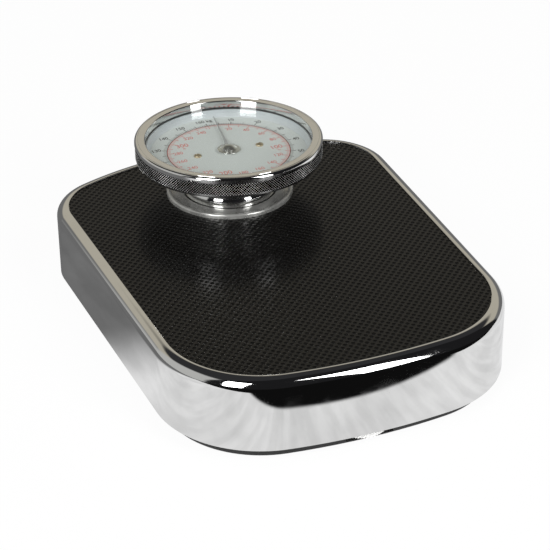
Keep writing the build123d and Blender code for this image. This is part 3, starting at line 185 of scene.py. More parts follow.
class Finish:
    """A material or world and the nodes in it."""

    def __init__(self, owner):
        owner.use_nodes = True
        self.owner = owner
        self.tree = owner.node_tree
        self.tree.nodes.clear()

    def node(self, kind, settings=None, values=None):
        """Adds a node, with its settings first and then the values or links of its sockets."""
        made = self.tree.nodes.new(kind)
        for key, value in (settings or {}).items():
            setattr(made, key, value)
        for key, value in (values or {}).items():
            self.feed(made.inputs[key], value)
        return made

    def feed(self, socket, value):
        """Links a socket, or sets its value."""
        if isinstance(value, Wire):
            value = value.socket
        if isinstance(value, bpy.types.NodeSocket):
            self.tree.links.new(value, socket)
        else:
            socket.default_value = value

    def wire(self, kind, settings=None, values=None, out=0):
        """Adds a node and wraps one of its outputs."""
        return Wire(self, self.node(kind, settings, values).outputs[out])

    def place(self):
        """The place on the object, in metres."""
        return self.wire("ShaderNodeTexCoord", out="Object")

    def noise(self, scale, detail=3.0, where=None):
        """Cloudy noise from 0 to 1."""
        return self.wire(
            "ShaderNodeTexNoise", None,
            {"Vector": where or self.place(), "Scale": scale, "Detail": detail}, out="Fac",
        )

    def blend(self, factor, first, second):
        """A colour between two colours."""
        made = self.node("ShaderNodeMix", {"data_type": "RGBA"}, {0: factor, 6: first, 7: second})
        return Wire(self, made.outputs[2])

    def bump(self, height, strength, distance):
        """Normals of a relief of the given depth in metres."""
        return self.wire(
            "ShaderNodeBump", None, {"Height": height, "Strength": strength, "Distance": distance}
        )

    def close(self, **values):
        """Ends a material with the main shader and returns it."""
        names = {key.replace("_", " "): value for key, value in values.items()}
        shader = self.node("ShaderNodeBsdfPrincipled", None, names)
        self.node("ShaderNodeOutputMaterial", None, {"Surface": shader.outputs[0]})
        return self.owner


def finish(name):
    """Starts a new material."""
    return Finish(bpy.data.materials.new(name))


def rgba(value, share=1.0):
    """A colour for a socket, made darker or lighter by share."""
    return (value[0] * share, value[1] * share, value[2] * share, 1.0)


def bright_plating(name, tint, rough=0.035, wave=0.00012):
    """Bright plating on pressed sheet: faint waves, rubbed patches and dust."""
    f = finish(name)
    rub = f.noise(60.0, 4.0).step(0.42, 0.75)
    dust = f.noise(900.0, 2.0).step(0.70, 0.80)
    waves = f.noise(9.0, 1.5)
    return f.close(
        Base_Color=f.blend(rub * 0.3 + dust * 0.3, rgba(tint), rgba(tint, 0.9)),
        Metallic=1.0,
        Roughness=rub * 0.05 + dust * 0.12 + rough,
        Normal=f.bump(waves, 1.0, wave),
    )


def satin_plating(name, tint):
    """Dull plating, rubbed and scratched by shoes."""
    f = finish(name)
    rub = f.noise(80.0, 4.0).step(0.4, 0.75)
    scratch = f.noise(1300.0, 3.0)
    return f.close(
        Base_Color=f.blend(rub, rgba(tint), rgba(tint, 0.85)),
        Metallic=rub * 0.2 + 0.6,
        Roughness=rub * 0.1 + scratch * 0.1 + 0.17,
        Normal=f.bump(scratch, 0.1, 0.00003),
    )


def knurled_plating(name, tint, centre, valley, tip):
    """Plating on a knurled band, bright on the tips of the diamonds, with painted shade between
    them.
    """
    f = finish(name)
    parts = f.node("ShaderNodeSeparateXYZ", None, {"Vector": f.place()})
    x, y = Wire(f, parts.outputs[0]), Wire(f, parts.outputs[1]) - centre
    height = (x * x + y * y).sum("SQRT")
    worn = f.noise(300.0, 3.0)
    rise = tip - valley
    # Mask of the diamond tips; the valleys below them get painted shade, nearly black
    unshaded_tip = (height + worn * 0.00008).step(valley + rise * 0.66, tip - rise * 0.12)
    return f.close(
        Base_Color=f.blend(unshaded_tip, rgba(tint, 0.006), rgba(tint)),
        Metallic=1.0 - unshaded_tip * 0.5,
        Roughness=worn * 0.08 + unshaded_tip * 0.25 + 0.06,
        Normal=f.bump(worn, 0.3, 0.00003),
    )


def plated_steel(name, tint, rough):
    """Plated or blued steel, or brass, with a fine rolled grain."""
    f = finish(name)
    stretch = f.wire(
        "ShaderNodeMapping", None, {"Vector": f.place(), "Scale": (60.0, 900.0, 400.0)}
    )
    grain = f.noise(1.0, 3.0, stretch)
    stain = f.noise(35.0, 4.0)
    return f.close(
        Base_Color=f.blend(stain, rgba(tint), rgba(tint, 0.72)),
        Metallic=1.0,
        Roughness=grain * 0.18 + stain * 0.12 + rough,
        Normal=f.bump(grain, 0.25, 0.0001),
    )


def satin_paint(name, tint, rough=0.38):
    """Baked paint with a fine orange peel and worn spots."""
    f = finish(name)
    peel = f.noise(700.0, 2.0)
    wear = f.noise(50.0, 5.0).step(0.6, 0.8)
    return f.close(
        Base_Color=f.blend(wear, rgba(tint), rgba(tint, 1.5)),
        Roughness=wear * 0.15 + peel * 0.08 + rough,
        Normal=f.bump(peel, 0.3, 0.0001),
    )


def moulded(name, tint, rough=0.45):
    """Moulded plastic or rubber with a fine grain and light soiling."""
    f = finish(name)
    grain = f.noise(1500.0, 2.0)
    soil = f.noise(45.0, 4.0).step(0.45, 0.8)
    return f.close(
        Base_Color=f.blend(soil * 0.5, rgba(tint), rgba(tint, 0.8)),
        Roughness=soil * 0.12 + grain * 0.1 + rough,
        Normal=f.bump(grain, 0.35, 0.00008),
    )


def pitted_mat(name, tint, pitch):
    """Rubber mat with staggered rows of shallow round pits, with painted shade in the pits."""
    f = finish(name)
    parts = f.node("ShaderNodeSeparateXYZ", None, {"Vector": f.place()})
    along = Wire(f, parts.outputs[0]) / pitch
    across = Wire(f, parts.outputs[1]) / pitch

    def dots(shift):
        """Distance to the nearest pit of one grid."""
        u = (along + shift).sum("FRACT") - 0.5
        v = (across + shift).sum("FRACT") - 0.5
        return (u * u + v * v).sum("SQRT")

    pit = 1.0 - dots(0.0).sum("MINIMUM", dots(0.5)).step(0.13, 0.31)
    dirt = f.noise(28.0, 5.0)
    fine = f.noise(1200.0, 3.0)
    return f.close(
        # painted shade: the pits are much darker than the ridges between them
        Base_Color=f.blend(pit, rgba(tint, 0.8), rgba(tint, 0.1)),
        Roughness=dirt * 0.06 + fine * 0.03 + pit * 0.3 + 0.15,
        Specular_IOR_Level=0.26,
        Normal=f.bump(pit * -1.0, 0.8, 0.0004),
    )


def clear_glass(name):
    """Thin flat glass: a faint mirror over what lies behind it."""
    f = finish(name)
    smear = f.noise(40.0, 4.0)
    mirror = f.node("ShaderNodeBsdfGlossy", None, {"Color": (1, 1, 1, 1), "Roughness": 0.02})
    through = f.node("ShaderNodeBsdfTransparent", None, {"Color": (0.95, 0.965, 0.96, 1)})
    facing = f.wire("ShaderNodeLayerWeight", None, {"Blend": 0.5}, out="Facing")
    mixed = f.node(
        "ShaderNodeMixShader", None,
        {0: facing**5.0 * 0.6 + smear * 0.01 + 0.02, 1: through.outputs[0], 2: mirror.outputs[0]},
    )
    f.node("ShaderNodeOutputMaterial", None, {"Surface": mixed.outputs[0]})
    return f.owner


def printed_paper(name, tint):
    """Matt lacquered dial sheet, a little yellowed and dusty."""
    f = finish(name)
    age = f.noise(30.0, 4.0)
    fine = f.noise(1100.0, 2.0)
    return f.close(
        Base_Color=f.blend(age, rgba(tint), rgba(tint, 0.93)),
        Roughness=fine * 0.1 + age * 0.08 + 0.4,
        Normal=f.bump(fine, 0.15, 0.00005),
    )


def ink(name, tint):
    """Printing ink that covers unevenly."""
    f = finish(name)
    blot = f.noise(1600.0, 3.0)
    return f.close(
        Base_Color=f.blend(blot, rgba(tint), rgba(tint, 1.25)), Roughness=blot * 0.1 + 0.42
    )


def coat(piece, material):
    """Gives a piece its one material and marks it as done."""
    material["scale_finish"] = True
    piece.data.materials.clear()
    piece.data.materials.append(material)


def piece_from(bm, name, body, material, replaces=(), angle=34.0):
    """Closes a bmesh into an object that rides on a body, smooth up to the angle."""
    for face in bm.faces:
        face.smooth = True
    mesh = bpy.data.meshes.new(name)
    bm.to_mesh(mesh)
    bm.free()
    mesh.set_sharp_from_angle(angle=math.radians(angle))
    piece = bpy.data.objects.new(name, mesh)
    bpy.context.scene.collection.objects.link(piece)
    coat(piece, material)
    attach(piece, body)
    if replaces:
        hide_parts(*replaces)
    return piece


def lathe(profile, centre_y, steps=192):
    """Spins a closed profile of (radius, height) in millimetres about the dial axis."""
    bm = bmesh.new()
    points = [bm.verts.new((r * MM, centre_y, z * MM)) for r, z in profile]
    edges = [bm.edges.new((a, b)) for a, b in zip(points, points[1:] + points[:1])]
    bmesh.ops.spin(
        bm, geom=points + edges, cent=(0, centre_y, 0), axis=(0, 0, 1), dvec=(0, 0, 0),
        angle=TURN, steps=steps, use_merge=True, use_duplicate=False,
    )
    bmesh.ops.remove_doubles(bm, verts=bm.verts[:], dist=1e-6)
    bmesh.ops.recalc_face_normals(bm, faces=bm.faces[:])
    return bm


def arc(centre, radius, start, end, steps):
    """Points on an arc, angles in degrees, for a profile."""
    return [
        (
            centre[0] + radius * math.cos(math.radians(start + (end - start) * k / steps)),
            centre[1] + radius * math.sin(math.radians(start + (end - start) * k / steps)),
        )
        for k in range(steps + 1)
    ]


class Plan:
    """The platform outline: two bows, two slanting sides and four corners."""

    def __init__(self, s):
        half = s.body_length / 2
        self.front = Vector((0, s.front_bow - half))
        self.rear = Vector((0, half - s.rear_bow))
        front_rise = math.sqrt(s.front_bow**2 - s.front_width**2 / 4)
        rear_rise = math.sqrt(s.rear_bow**2 - s.rear_width**2 / 4)
        low = Vector((s.front_width / 2, self.front.y - front_rise))
        high = Vector((s.rear_width / 2, self.rear.y + rear_rise))
        along = (high - low).normalized()
        self.inward = Vector((-along.y, along.x))
        self.bows = (s.front_bow, s.rear_bow)
        self.corners = (s.front_corner, s.rear_corner)
        self.front_corner = self.corner(low, along, self.front, s.front_bow, s.front_corner, 1)
        self.rear_corner = self.corner(low, along, self.rear, s.rear_bow, s.rear_corner, -1)

    def corner(self, low, along, bow_centre, bow, radius, side):
        """The centre of a corner that touches the side and the bow."""
        start = low + self.inward * radius - bow_centre
        b = start.dot(along)
        root = math.sqrt(b * b - start.length_squared + (bow - radius) ** 2)
        return bow_centre + start + along * (-b - side * root)

    def loop(self, bm, inset, z):
        """A closed ring of edges, drawn in by inset."""
        side = math.atan2(-self.inward.y, -self.inward.x)
        turn_1 = math.atan2(*reversed(self.front_corner - self.front))
        turn_2 = math.atan2(*reversed(self.rear_corner - self.rear))
        runs = (
            (self.front, turn_1 + TURN / 4, BOW_STEPS),
            (self.front_corner, side - turn_1, CORNER_STEPS),
            (self.rear_corner, turn_2 - side, CORNER_STEPS),
            (self.rear, TURN / 4 - turn_2, BOW_STEPS),
        )
        first = bm.verts.new((0, self.front.y - self.bows[0] + inset, z))
        made, last = [first], first
        for number, (centre, turn, count) in enumerate(runs):
            if number == 2:
                outward = self.inward * (inset - self.corners[1])
                last = bm.verts.new((centre.x + outward.x, centre.y + outward.y, z))
                bm.edges.new((made[-1], last))
                made.append(last)
            spun = bmesh.ops.spin(
                bm, geom=[last], cent=(centre.x, centre.y, z), axis=(0, 0, 1), dvec=(0, 0, 0),
                angle=turn, steps=count, use_merge=False, use_duplicate=False,
            )
            last = [v for v in spun["geom_last"] if isinstance(v, bmesh.types.BMVert)][0]
            made = made + [v for v in bm.verts if v not in set(made)]
        edges = list({e for v in made for e in v.link_edges})
        copy = bmesh.ops.mirror(
            bm, geom=made + edges, matrix=Matrix.Identity(4), merge_dist=1e-6, axis="X"
        )
        both = set(made) | {v for v in copy["geom"] if isinstance(v, bmesh.types.BMVert)}
        return list({e for v in both if v.is_valid for e in v.link_edges})


def settings():
    """The three groups of settings: platform, dial and stage."""
    scene = bpy.context.scene
    return scene.scale_platform, scene.scale_dial, scene.scale_stage


def build_loops(plan, rings):
    """One bmesh with a strip between each pair of rings; returns it and the last ring's edges."""
    bm = bmesh.new()
    before = None
    for inset, z in rings:
        own = bmesh.new()
        plan.loop(own, inset * MM, z * MM)
        mesh = bpy.data.meshes.new("ring")
        own.to_mesh(mesh)
        own.free()
        known = set(bm.edges)
        bm.from_mesh(mesh)
        bpy.data.meshes.remove(mesh)
        ring = [e for e in bm.edges if e not in known]
        if before:
            bmesh.ops.bridge_loops(bm, edges=before + ring)
        before = ring
    return bm, before


class SCALE_OT_cover(bpy.types.Operator):
    """Pressed cover with a rounded shoulder and a sunk panel"""

    bl_idname = "scale.cover"
    bl_label = "Cover"

    def execute(self, context):
        s, d, _ = settings()
        rim, skirt, shoulder, inset = s.rim / MM, s.skirt / MM, s.shoulder / MM, s.mat_inset / MM
        turn = arc((shoulder, rim - shoulder), shoulder, 180, 90, 10)
        rings = [(0.0, skirt), (0.0, skirt + 0.4), (0.0, rim - shoulder - 0.4)] + turn
        rings += [(inset - 0.35, rim), (inset - 0.1, rim - 0.1), (inset, rim - 0.35)]
        rings += [(inset, rim - s.recess / MM)]
        bm, last = build_loops(Plan(s), rings)
        hole = bmesh.ops.create_circle(bm, segments=96, radius=NECK_HOLE * MM)["verts"]
        bmesh.ops.translate(bm, verts=hole, vec=(0, d.centre, s.rim - s.recess))
        inner = list({e for v in hole for e in v.link_edges})
        bmesh.ops.triangle_fill(bm, edges=last + inner, use_beauty=True)
        bmesh.ops.remove_doubles(bm, verts=bm.verts[:], dist=1e-6)
        bmesh.ops.recalc_face_normals(bm, faces=bm.faces[:])
        top = max(bm.faces, key=lambda f: f.calc_center_median().z)
        if top.normal.z < 0:
            bmesh.ops.reverse_faces(bm, faces=bm.faces[:])
        cover = piece_from(
            bm, "cover_shell", "platform", bright_plating("cover plating", s.chrome),
            replaces=["platform_cover"],
        )
        wall = cover.modifiers.new("wall", "SOLIDIFY")
        wall.thickness = s.sheet
        wall.offset = -1
        return {"FINISHED"}


class SCALE_OT_mat(bpy.types.Operator):
    """Pitted rubber mat in the sunk panel"""

    bl_idname = "scale.mat"
    bl_label = "Mat"

    def execute(self, context):
        s, _, _ = settings()
        coat(frame["nodes"]["platform_mat"], pitted_mat("mat rubber", s.mat, s.pit_pitch))
        return {"FINISHED"}


class SCALE_OT_head(bpy.types.Operator):
    """Trim ring, neck, knurled case and bezel"""

    bl_idname = "scale.head"
    bl_label = "Dial head"

    def execute(self, context):
        s, d, _ = settings()
        plating = bright_plating("head plating", s.chrome, 0.03, 0.00004)
        y = d.centre
        bead = arc((54.0, 76.2), 2.0, 0, 180, 14)
        dish = [(52.0, 75.2), (43.2, 76.6), (42.0, 76.6), (42.0, 66.6), (43.2, 66.6)]
        dish += [(43.2, 75.4), (52.0, 74.0)]
        satin = satin_plating("trim plating", (0.46, 0.46, 0.44))
        ring = lathe([(56.0, 74.0)] + bead + dish, y)
        piece_from(ring, "trim_ring_bright", "platform", satin, ["trim_ring"])
        foot = arc((32.0, 80.0), 9.0, 0, 90, 16)
        flare = arc((44.54, 88.59), 13.0, 164.8, 70.0, 16)
        neck = [(29.8, 102.0), (29.8, 86.0), (34.6, 80.0), (34.6, 60.0), (37.0, 60.0)]
        neck += [(37.0, 68.0), (41.0, 73.0)] + foot + flare + [(52.0, 100.8), (52.0, 102.0)]
        piece_from(lathe(neck, y), "neck_bright", "base", plating, ["neck_tube"])
        steps = 2 * d.knurl_rows
        grip = GRIP_HIGH - GRIP_LOW
        band = [(DRUM_RADIUS, GRIP_LOW + grip * k / steps) for k in range(steps + 1)]
        case = [(22.0, 102.0), (67.6, 102.0), (69.0, 102.4)] + arc((80.2, 109.0), 1.2, -64, 0, 4)
        case += band + [(DRUM_RADIUS, 122.3), (80.6, 122.3), (80.6, 124.8), (76.1, 124.8)]
        case += [(76.1, 117.4), (73.1, 117.4), (73.1, 110.8), (68.8, 110.8), (66.8, 104.0)]
        case += [(22.0, 104.0)]
        bm = lathe(case, y, 2 * d.knurls)
        self.knurl(bm, d)
        drum = piece_from(bm, "case_bright", "base", plating, ["dial_case"])
        valley, tip = DRUM_RADIUS * MM, (DRUM_RADIUS + KNURL_RISE) * MM
        drum.data.materials.append(
            knurled_plating("knurl plating", s.chrome, d.centre, valley, tip)
        )
        for face in drum.data.polygons:
            reach = math.hypot(face.center.x, face.center.y - d.centre)
            if reach > valley + 0.05 * MM and GRIP_LOW * MM < face.center.z < GRIP_HIGH * MM:
                face.material_index = 1
        groove = [(79.5, 126.3), (79.35, 126.0), (79.05, 126.0), (78.9, 126.3)]
        bezel = [(82.2, 122.6)] + arc((80.0, 124.1), 2.2, 0, 90, 12) + groove
        bezel += arc((73.7, 125.5), 0.8, 90, 180, 5)
        bezel += [(72.9, 120.1), (75.5, 120.1), (75.5, 121.3), (74.1, 121.3), (74.1, 125.1)]
        bezel += [(80.2, 125.1), (81.0, 124.3), (81.0, 122.6)]
        rim = lathe(bezel, y, 256)
        piece_from(rim, "bezel_bright", "base", plating, ["bezel_ring"], angle=40.0)
        return {"FINISHED"}

    def knurl(self, bm, d):
        """Raises every second point of the band into the tip of a diamond."""
        steps = 2 * d.knurl_rows
        valleys = []
        for point in bm.verts:
            x, y = point.co.x, point.co.y - d.centre
            row = (point.co.z / MM - GRIP_LOW) / (GRIP_HIGH - GRIP_LOW) * steps
            if abs(math.hypot(x, y) / MM - DRUM_RADIUS) > 0.05 or not -0.01 < row < steps + 0.01:
                continue
            odd = (round(math.atan2(y, x) / TURN * 2 * d.knurls) + round(row)) % 2
            if odd and 0.5 < row < steps - 0.5:
                point.co += Vector((x, y, 0)).normalized() * KNURL_RISE * MM
            elif not odd:
                valleys.append(point)
        bmesh.ops.connect_verts(bm, verts=valleys)


class SCALE_OT_dial(bpy.types.Operator):
    """Printed dial, its white surround, the hub and the glass"""

    bl_idname = "scale.dial"
    bl_label = "Dial"

    def execute(self, context):
        _, d, _ = settings()
        self.centre, self.level = d.centre, d.face + PRINT_LIFT * MM
        nodes = frame["nodes"]
        coat(nodes["dial_plate"], printed_paper("dial paper", d.paper))
        coat(nodes["lens"], clear_glass("dial glass"))
        coat(nodes["lens_gasket"], moulded("gasket rubber", (0.11, 0.11, 0.11)))
        coat(nodes["pointer_needle"], satin_paint("needle paint", (0.34, 0.34, 0.345), 0.3))
        coat(nodes["dial_screws"], plated_steel("screw brass", (0.86, 0.70, 0.47), 0.3))
        cone = [(68.6, 112.0), (71.6, 118.3), (72.6, 118.3), (70.6, 113.0), (72.8, 113.0)]
        cone += [(72.8, 112.0)]
        piece_from(
            lathe(cone, d.centre), "surround_white", "base",
            moulded("surround enamel", (0.47, 0.49, 0.51), 0.4), ["dial_surround"],
        )
        steel = bright_plating("hub plating", (0.88, 0.87, 0.85), 0.26)
        flange = [(1.5, 113.0), (9.6, 113.0)] + arc((9.6, 113.6), 0.6, -90, 90, 6)[1:]
        flange = lathe(flange + [(1.5, 114.2)], d.centre, 96)
        piece_from(flange, "hub_flange_steel", "pointer", steel, ["hub_flange"])
        ball = 0.5 * (HUB_RADIUS**2 / HUB_RISE + HUB_RISE)
        edge = math.degrees(math.asin(1 - HUB_RISE / ball))
        dome = [(0.0, 114.8), (HUB_RADIUS, 114.8)] + arc((0.0, HUB_TOP - ball), ball, edge, 90, 10)
        dome = lathe(dome, d.centre, 96)
        piece_from(dome, "hub_cap_steel", "pointer", steel, ["hub_cap"])
        self.print_kilograms(ink("black ink", d.ink))
        self.print_pounds(ink("red ink", d.red))
        return {"FINISHED"}

    def spot(self, radius, share):
        """The place at a radius and a share of a turn from the top of the dial."""
        turn = share * TURN
        return radius * MM * math.sin(turn), self.centre + radius * MM * math.cos(turn)

    def ring(self, bm, inner, outer):
        """Adds a thin printed ring."""
        sides = []
        for radius in (inner, outer):
            made = bmesh.ops.create_circle(bm, segments=240, radius=radius * MM)["verts"]
            bmesh.ops.translate(bm, verts=made, vec=(0, self.centre, self.level))
            sides += list({e for v in made for e in v.link_edges})
        bmesh.ops.bridge_loops(bm, edges=sides)

    def tick(self, bm, share, inner, outer, width):
        """Adds a printed tick."""
        x, y = self.spot((inner + outer) / 2, share)
        place = Matrix.Translation((x, y, self.level)) @ Matrix.Rotation(-share * TURN, 4, "Z")
        size = Matrix.Diagonal((width * MM, (outer - inner) * MM, 1, 1))
        bmesh.ops.create_grid(bm, x_segments=1, y_segments=1, size=0.5, matrix=place @ size)

    def words(self, bm, text, radius, share, height, lift=0.0, weight=0.01):
        """Adds upright lettering, centred on its place on the dial."""
        curve = bpy.data.curves.new("lettering", "FONT")
        curve.body = text
        curve.size = 1.0
        curve.offset = weight
        holder = bpy.data.objects.new("lettering", curve)
        mesh = bpy.data.meshes.new_from_object(holder)
        bpy.data.objects.remove(holder)
        known = set(bm.verts)
        bm.from_mesh(mesh)
        bpy.data.meshes.remove(mesh)
        made = [v for v in bm.verts if v not in known]
        low = [min(v.co[axis] for v in made) for axis in (0, 1)]
        high = [max(v.co[axis] for v in made) for axis in (0, 1)]
        grow = height * MM / CAPITAL_HEIGHT
        x, y = self.spot(radius, share)
        middle = Matrix.Translation((-(low[0] + high[0]) / 2, -(low[1] + high[1]) / 2, 0))
        size = Matrix.Diagonal((grow * LETTER_WIDTH, grow, 1, 1))
        place = Matrix.Translation((x, y + lift * MM, self.level))
        bmesh.ops.transform(bm, verts=made, matrix=place @ size @ middle)

    def close(self, bm, name, material):
        """Turns all of the print upwards and makes it a piece."""
        for face in bm.faces:
            face.normal_update()
        bmesh.ops.reverse_faces(bm, faces=[f for f in bm.faces if f.normal.z < 0])
        piece_from(bm, name, "base", material)

    def print_kilograms(self, material):
        """The outer scale, a mark for each kilogram."""
        bm = bmesh.new()
        self.ring(bm, 53.8, 54.3)
        for mark in range(FULL_LOAD):
            outer = 58.8 if mark % 10 == 0 else 58.2 if mark % 5 == 0 else 56.8
            self.tick(bm, mark / FULL_LOAD, 54.0, outer, 0.85 if mark % 5 == 0 else 0.55)
        for mark in range(10, FULL_LOAD + 10, 10):
            text = str(mark) if mark < FULL_LOAD else f"{mark} kg"
            self.words(bm, text, 63.2, mark / FULL_LOAD, 4.8, weight=0.022)
        self.close(bm, "print_kilograms", material)

    def print_pounds(self, material):
        """The inner scale, a mark for each two pounds."""
        bm = bmesh.new()
        self.ring(bm, 53.3, 53.8)
        full = FULL_LOAD / KG_PER_LB
        for mark in range(0, int(full), 2):
            inner = 48.2 if mark % 20 == 0 else 49.0 if mark % 10 == 0 else 50.8
            self.tick(bm, mark / full, inner, 53.4, 0.8 if mark % 10 == 0 else 0.5)
        for mark in range(20, int(full), 20):
            large = mark % 100 == 0
            radius, height = (42.6, 6.3) if large else (44.4, 4.9)
            self.words(bm, str(mark), radius, mark / full, height)
            if large:
                self.words(bm, "lb", radius, mark / full, 3.0, lift=-6.0)
        self.close(bm, "print_pounds", material)


class SCALE_OT_base(bpy.types.Operator):
    """Black pan, rubber feet and the white zero wheel"""

    bl_idname = "scale.base"
    bl_label = "Base"

    def execute(self, context):
        nodes = frame["nodes"]
        coat(nodes["base_pan"], satin_paint("pan paint", (0.012, 0.012, 0.012)))
        coat(nodes["rubber_feet"], moulded("foot rubber", (0.018, 0.018, 0.018), 0.6))
        coat(nodes["zero_wheel"], moulded("wheel nylon", (0.80, 0.80, 0.79), 0.35))
        return {"FINISHED"}


class SCALE_OT_works(bpy.types.Operator):
    """Finishes of the levers, springs, gears and brackets inside"""

    bl_idname = "scale.works"
    bl_label = "Weighing works"

    def execute(self, context):
        zinc = plated_steel("zinc plate", (0.55, 0.56, 0.57), 0.34)
        hard = plated_steel("hard pins", (0.42, 0.42, 0.43), 0.22)
        spring = plated_steel("spring steel", (0.12, 0.13, 0.16), 0.3)
        brass = plated_steel("bearing brass", (0.68, 0.50, 0.24), 0.26)
        nylon = moulded("gear nylon", (0.72, 0.70, 0.64), 0.4)
        finishes = {"spring": spring, "brass": brass, "nylon": nylon}
        for part in frame["record"]["subparts"]:
            node = frame["nodes"][part["node"]]
            if not is_dressed(node):
                pin = node.name.endswith(("pins", "pin", "screws", "rivets", "rod"))
                coat(node, finishes.get(part["material_slot"], hard if pin else zinc))
        return {"FINISHED"}


def is_dressed(node):
    """Says whether a node already has one of this file's finishes."""
    return any(m and m.get("scale_finish") for m in node.data.materials)


class SCALE_OT_stage(bpy.types.Operator):
    """Pale floor, studio dome, lamps and the camera of the photograph"""

    bl_idname = "scale.stage"
    bl_label = "Studio"

    def execute(self, context):
        _, _, g = settings()
        self.lay_floor(g)
        self.dome()
        self.lamp("right softbox", (0.53, -1.24, 0.88))
        self.lamp("left softbox", (-1.01, -0.86, 0.93))
        self.aim_camera(g)
        context.scene.view_settings.view_transform = "Standard"
        return {"FINISHED"}

    def lay_floor(self, g):
        """A pale floor; bright metal mirrors a painted reflection of a wrinkled cloth in its
        place, black beyond the cloth's edge and darker to one side.
        """
        bm = bmesh.new()
        bmesh.ops.create_grid(bm, x_segments=1, y_segments=1, size=4.0)
        bmesh.ops.translate(bm, verts=bm.verts[:], vec=(0, 0, -0.0002))
        mesh = bpy.data.meshes.new("floor")
        bm.to_mesh(mesh)
        bm.free()
        floor = bpy.data.objects.new("floor", mesh)
        bpy.context.scene.collection.objects.link(floor)
        f = finish("floor paper")
        seen = self.seen(f)
        glossy = Wire(f, f.node("ShaderNodeLightPath").outputs["Is Glossy Ray"])
        spot = f.node("ShaderNodeSeparateXYZ", None, {"Vector": f.place()})
        across, along = Wire(f, spot.outputs[0]), Wire(f, spot.outputs[1])
        stretch = f.wire(
            "ShaderNodeMapping", None, {"Vector": f.place(), "Scale": (75.0, 13.0, 1.0)}
        )
        # painted reflection: only mirrors see these folds, the black band beyond the edge and the
        # darker side; the camera sees an even white floor
        folds = f.noise(1.0, 5.0, stretch).step(0.36, 0.66)
        drape = f.noise(11.0, 3.0).step(0.3, 0.7)
        edge = (along + CLOTH_EDGE).step(-0.004, 0.002)
        side = (across * 0.3 - along).step(-0.10, 0.0) * 0.8 + 0.2
        tone = (folds * 0.10 + drape * 0.14 + 0.67) * side * edge + 0.005
        painted_cloth_reflection = f.blend(tone, (0, 0, 0, 1), (1, 1, 1.01, 1))
        paper = f.node("ShaderNodeBsdfDiffuse", None, {"Color": rgba(g.floor)})
        shown = f.blend(glossy, (1, 1, 1, 1), painted_cloth_reflection)
        glow = f.node("ShaderNodeEmission", None, {"Color": shown, "Strength": 1.0})
        share = seen * 0.95 + glossy * 0.05
        mixed = f.node(
            "ShaderNodeMixShader", None, {0: share, 1: paper.outputs[0], 2: glow.outputs[0]}
        )
        f.node("ShaderNodeOutputMaterial", None, {"Surface": mixed.outputs[0]})
        coat(floor, f.owner)

    def seen(self, f):
        """1 for the camera, through glass and in mirrors; 0 for soft light."""
        path = f.node("ShaderNodeLightPath")
        rays = ("Is Camera Ray", "Is Transmission Ray", "Is Glossy Ray")
        direct, through, mirror = (Wire(f, path.outputs[name]) for name in rays)
        return (direct + through + mirror).sum("MINIMUM", 1.0)

    def dome(self):
        """The room that bright metal mirrors: walls, a board at the left and two softboxes."""
        world = bpy.context.scene.world or bpy.data.worlds.new("studio")
        bpy.context.scene.world = world
        f = Finish(world)
        sky = f.wire("ShaderNodeTexCoord", out="Generated")
        way = f.node("ShaderNodeSeparateXYZ", None, {"Vector": sky})
        across, back, up = (Wire(f, socket) for socket in way.outputs)
        wall = f.blend(up.step(0.26, 0.38), (0.16, 0.16, 0.16, 1), (0.46, 0.43, 0.36, 1))
        rear = f.blend(up.step(0.56, 0.64), wall, (0.03, 0.03, 0.032, 1))
        left = (across * -1.0).step(0.5, 0.65) * (1.0 - up.step(0.75, 0.9))
        rear = f.blend(left, rear, (0.5, 0.5, 0.49, 1))
        front = (0.012, 0.012, 0.013, 1)
        room = f.blend((back - across * 0.2).step(-0.10, 0.0), front, rear)
        path = f.node("ShaderNodeLightPath")
        boxes = self.softbox(f, 155.0, 30.0, 0.12) + self.softbox(f, -131.0, 32.0, 0.17)
        room = f.blend(boxes, room, (SOFTBOX_GLARE, SOFTBOX_GLARE, SOFTBOX_GLARE, 1))
        view = f.blend(Wire(f, path.outputs["Is Camera Ray"]), room, (1, 1, 1, 1))
        light = f.node("ShaderNodeBackground", None, {"Color": view, "Strength": 1.0})
        f.node("ShaderNodeOutputWorld", None, {"Surface": light.outputs[0]})

    def softbox(self, f, heading, rise, half_width):
        """The mirror image of a softbox: 1 inside an upright rectangle on the sky."""
        turn, lift = math.radians(heading), math.radians(rise)
        level = math.cos(lift)
        middle = Vector((math.sin(turn) * level, math.cos(turn) * level, math.sin(lift)))
        side = Vector((math.cos(turn), -math.sin(turn), 0.0))
        way = f.node("ShaderNodeTexCoord").outputs["Generated"]

        def along(axis):
            """How far the view points along an axis."""
            return f.wire(
                "ShaderNodeVectorMath", {"operation": "DOT_PRODUCT"}, {0: way, 1: axis},
                out="Value",
            )

        depth = along(middle)
        inside = depth > 0.2
        for axis, half in ((side, half_width), (side.cross(middle), SOFTBOX_HALF_HEIGHT)):
            distance = (along(axis) / depth).sum("ABSOLUTE")
            inside = inside * (1.0 - distance.step(half, half + 0.01))
        return inside

    def lamp(self, name, place):
        """An area lamp that faces the scale; mirrors see the dome's softboxes in its place."""
        light = bpy.data.lights.new(name, "AREA")
        light.shape = "RECTANGLE"
        light.size, light.size_y = SOFTBOX_SIZE
        light.energy = SOFTBOX_POWER
        holder = bpy.data.objects.new(name, light)
        place, target = Vector(place), Vector((0, 0, 0.05))
        back = (place - target).normalized()
        side = Vector((0, 0, 1)).cross(back).normalized()
        aim = Matrix((side, back.cross(side), back)).transposed().to_4x4()
        holder.matrix_world = Matrix.Translation(place) @ aim
        holder.visible_glossy = False
        bpy.context.scene.collection.objects.link(holder)

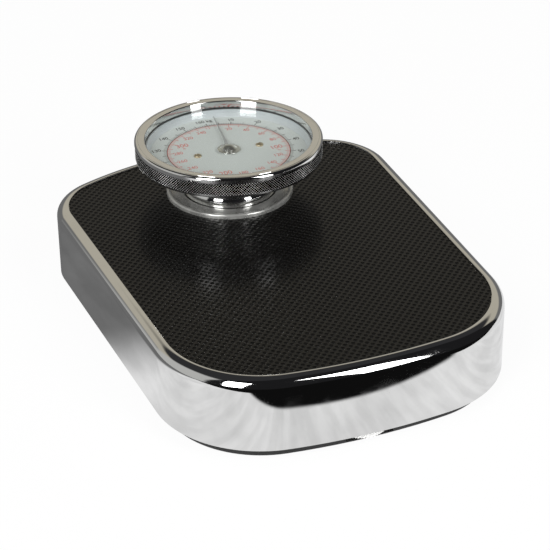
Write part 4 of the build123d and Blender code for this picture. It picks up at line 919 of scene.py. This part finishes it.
    def aim_camera(self, g):
        """The camera of the photograph, from the left of the front."""
        side, rise, roll = (math.radians(angle) for angle in (21.44, 29.83, -0.69))
        level = math.cos(rise)
        way = Vector((-math.sin(side) * level, -math.cos(side) * level, math.sin(rise)))
        target = Vector((2.08, 10.44, 40.0)) * MM
        camera = bpy.data.cameras.new("camera")
        camera.lens, camera.sensor_width, camera.sensor_fit = 130.909, 36.0, "HORIZONTAL"
        camera.clip_start, camera.clip_end = 0.05, 50.0
        holder = bpy.data.objects.new("camera", camera)
        turn = way.to_track_quat("Z", "Y").to_matrix().to_4x4() @ Matrix.Rotation(roll, 4, "Z")
        holder.matrix_world = Matrix.Translation(target + way * g.distance) @ turn
        bpy.context.scene.collection.objects.link(holder)
        bpy.context.scene.camera = holder


class SCALE_PT_panel(bpy.types.Panel):
    """Lists the pieces of the scale"""

    bl_idname = "SCALE_PT_panel"
    bl_label = "Bathroom scale"
    bl_space_type = "VIEW_3D"
    bl_region_type = "UI"
    bl_category = "Scale"

    def draw(self, context):
        for group in settings():
            box = self.layout.box()
            for name in group.bl_rna.properties.keys():
                if name not in ("rna_type", "name"):
                    box.prop(group, name)
        for step in STEPS:
            self.layout.operator(step.bl_idname)


STEPS = (
    SCALE_OT_cover, SCALE_OT_mat, SCALE_OT_head, SCALE_OT_dial, SCALE_OT_base, SCALE_OT_works,
    SCALE_OT_stage,
)
GROUPS = (ScalePlatformSettings, ScaleDialSettings, ScaleStageSettings)
CLASSES = GROUPS + STEPS + (SCALE_PT_panel,)


def register():
    """Makes the settings, operators and panel known to Blender."""
    for made in CLASSES:
        bpy.utils.register_class(made)
    bpy.types.Scene.scale_platform = PointerProperty(type=ScalePlatformSettings)
    bpy.types.Scene.scale_dial = PointerProperty(type=ScaleDialSettings)
    bpy.types.Scene.scale_stage = PointerProperty(type=ScaleStageSettings)


def unregister():
    """Takes them out again."""
    del bpy.types.Scene.scale_stage
    del bpy.types.Scene.scale_dial
    del bpy.types.Scene.scale_platform
    for made in reversed(CLASSES):
        bpy.utils.unregister_class(made)


def main():
    register()
    bpy.ops.scale.cover()
    bpy.ops.scale.mat()
    bpy.ops.scale.head()
    bpy.ops.scale.dial()
    bpy.ops.scale.base()
    bpy.ops.scale.works()
    bpy.ops.scale.stage()


if __name__ == "__main__":
    main()
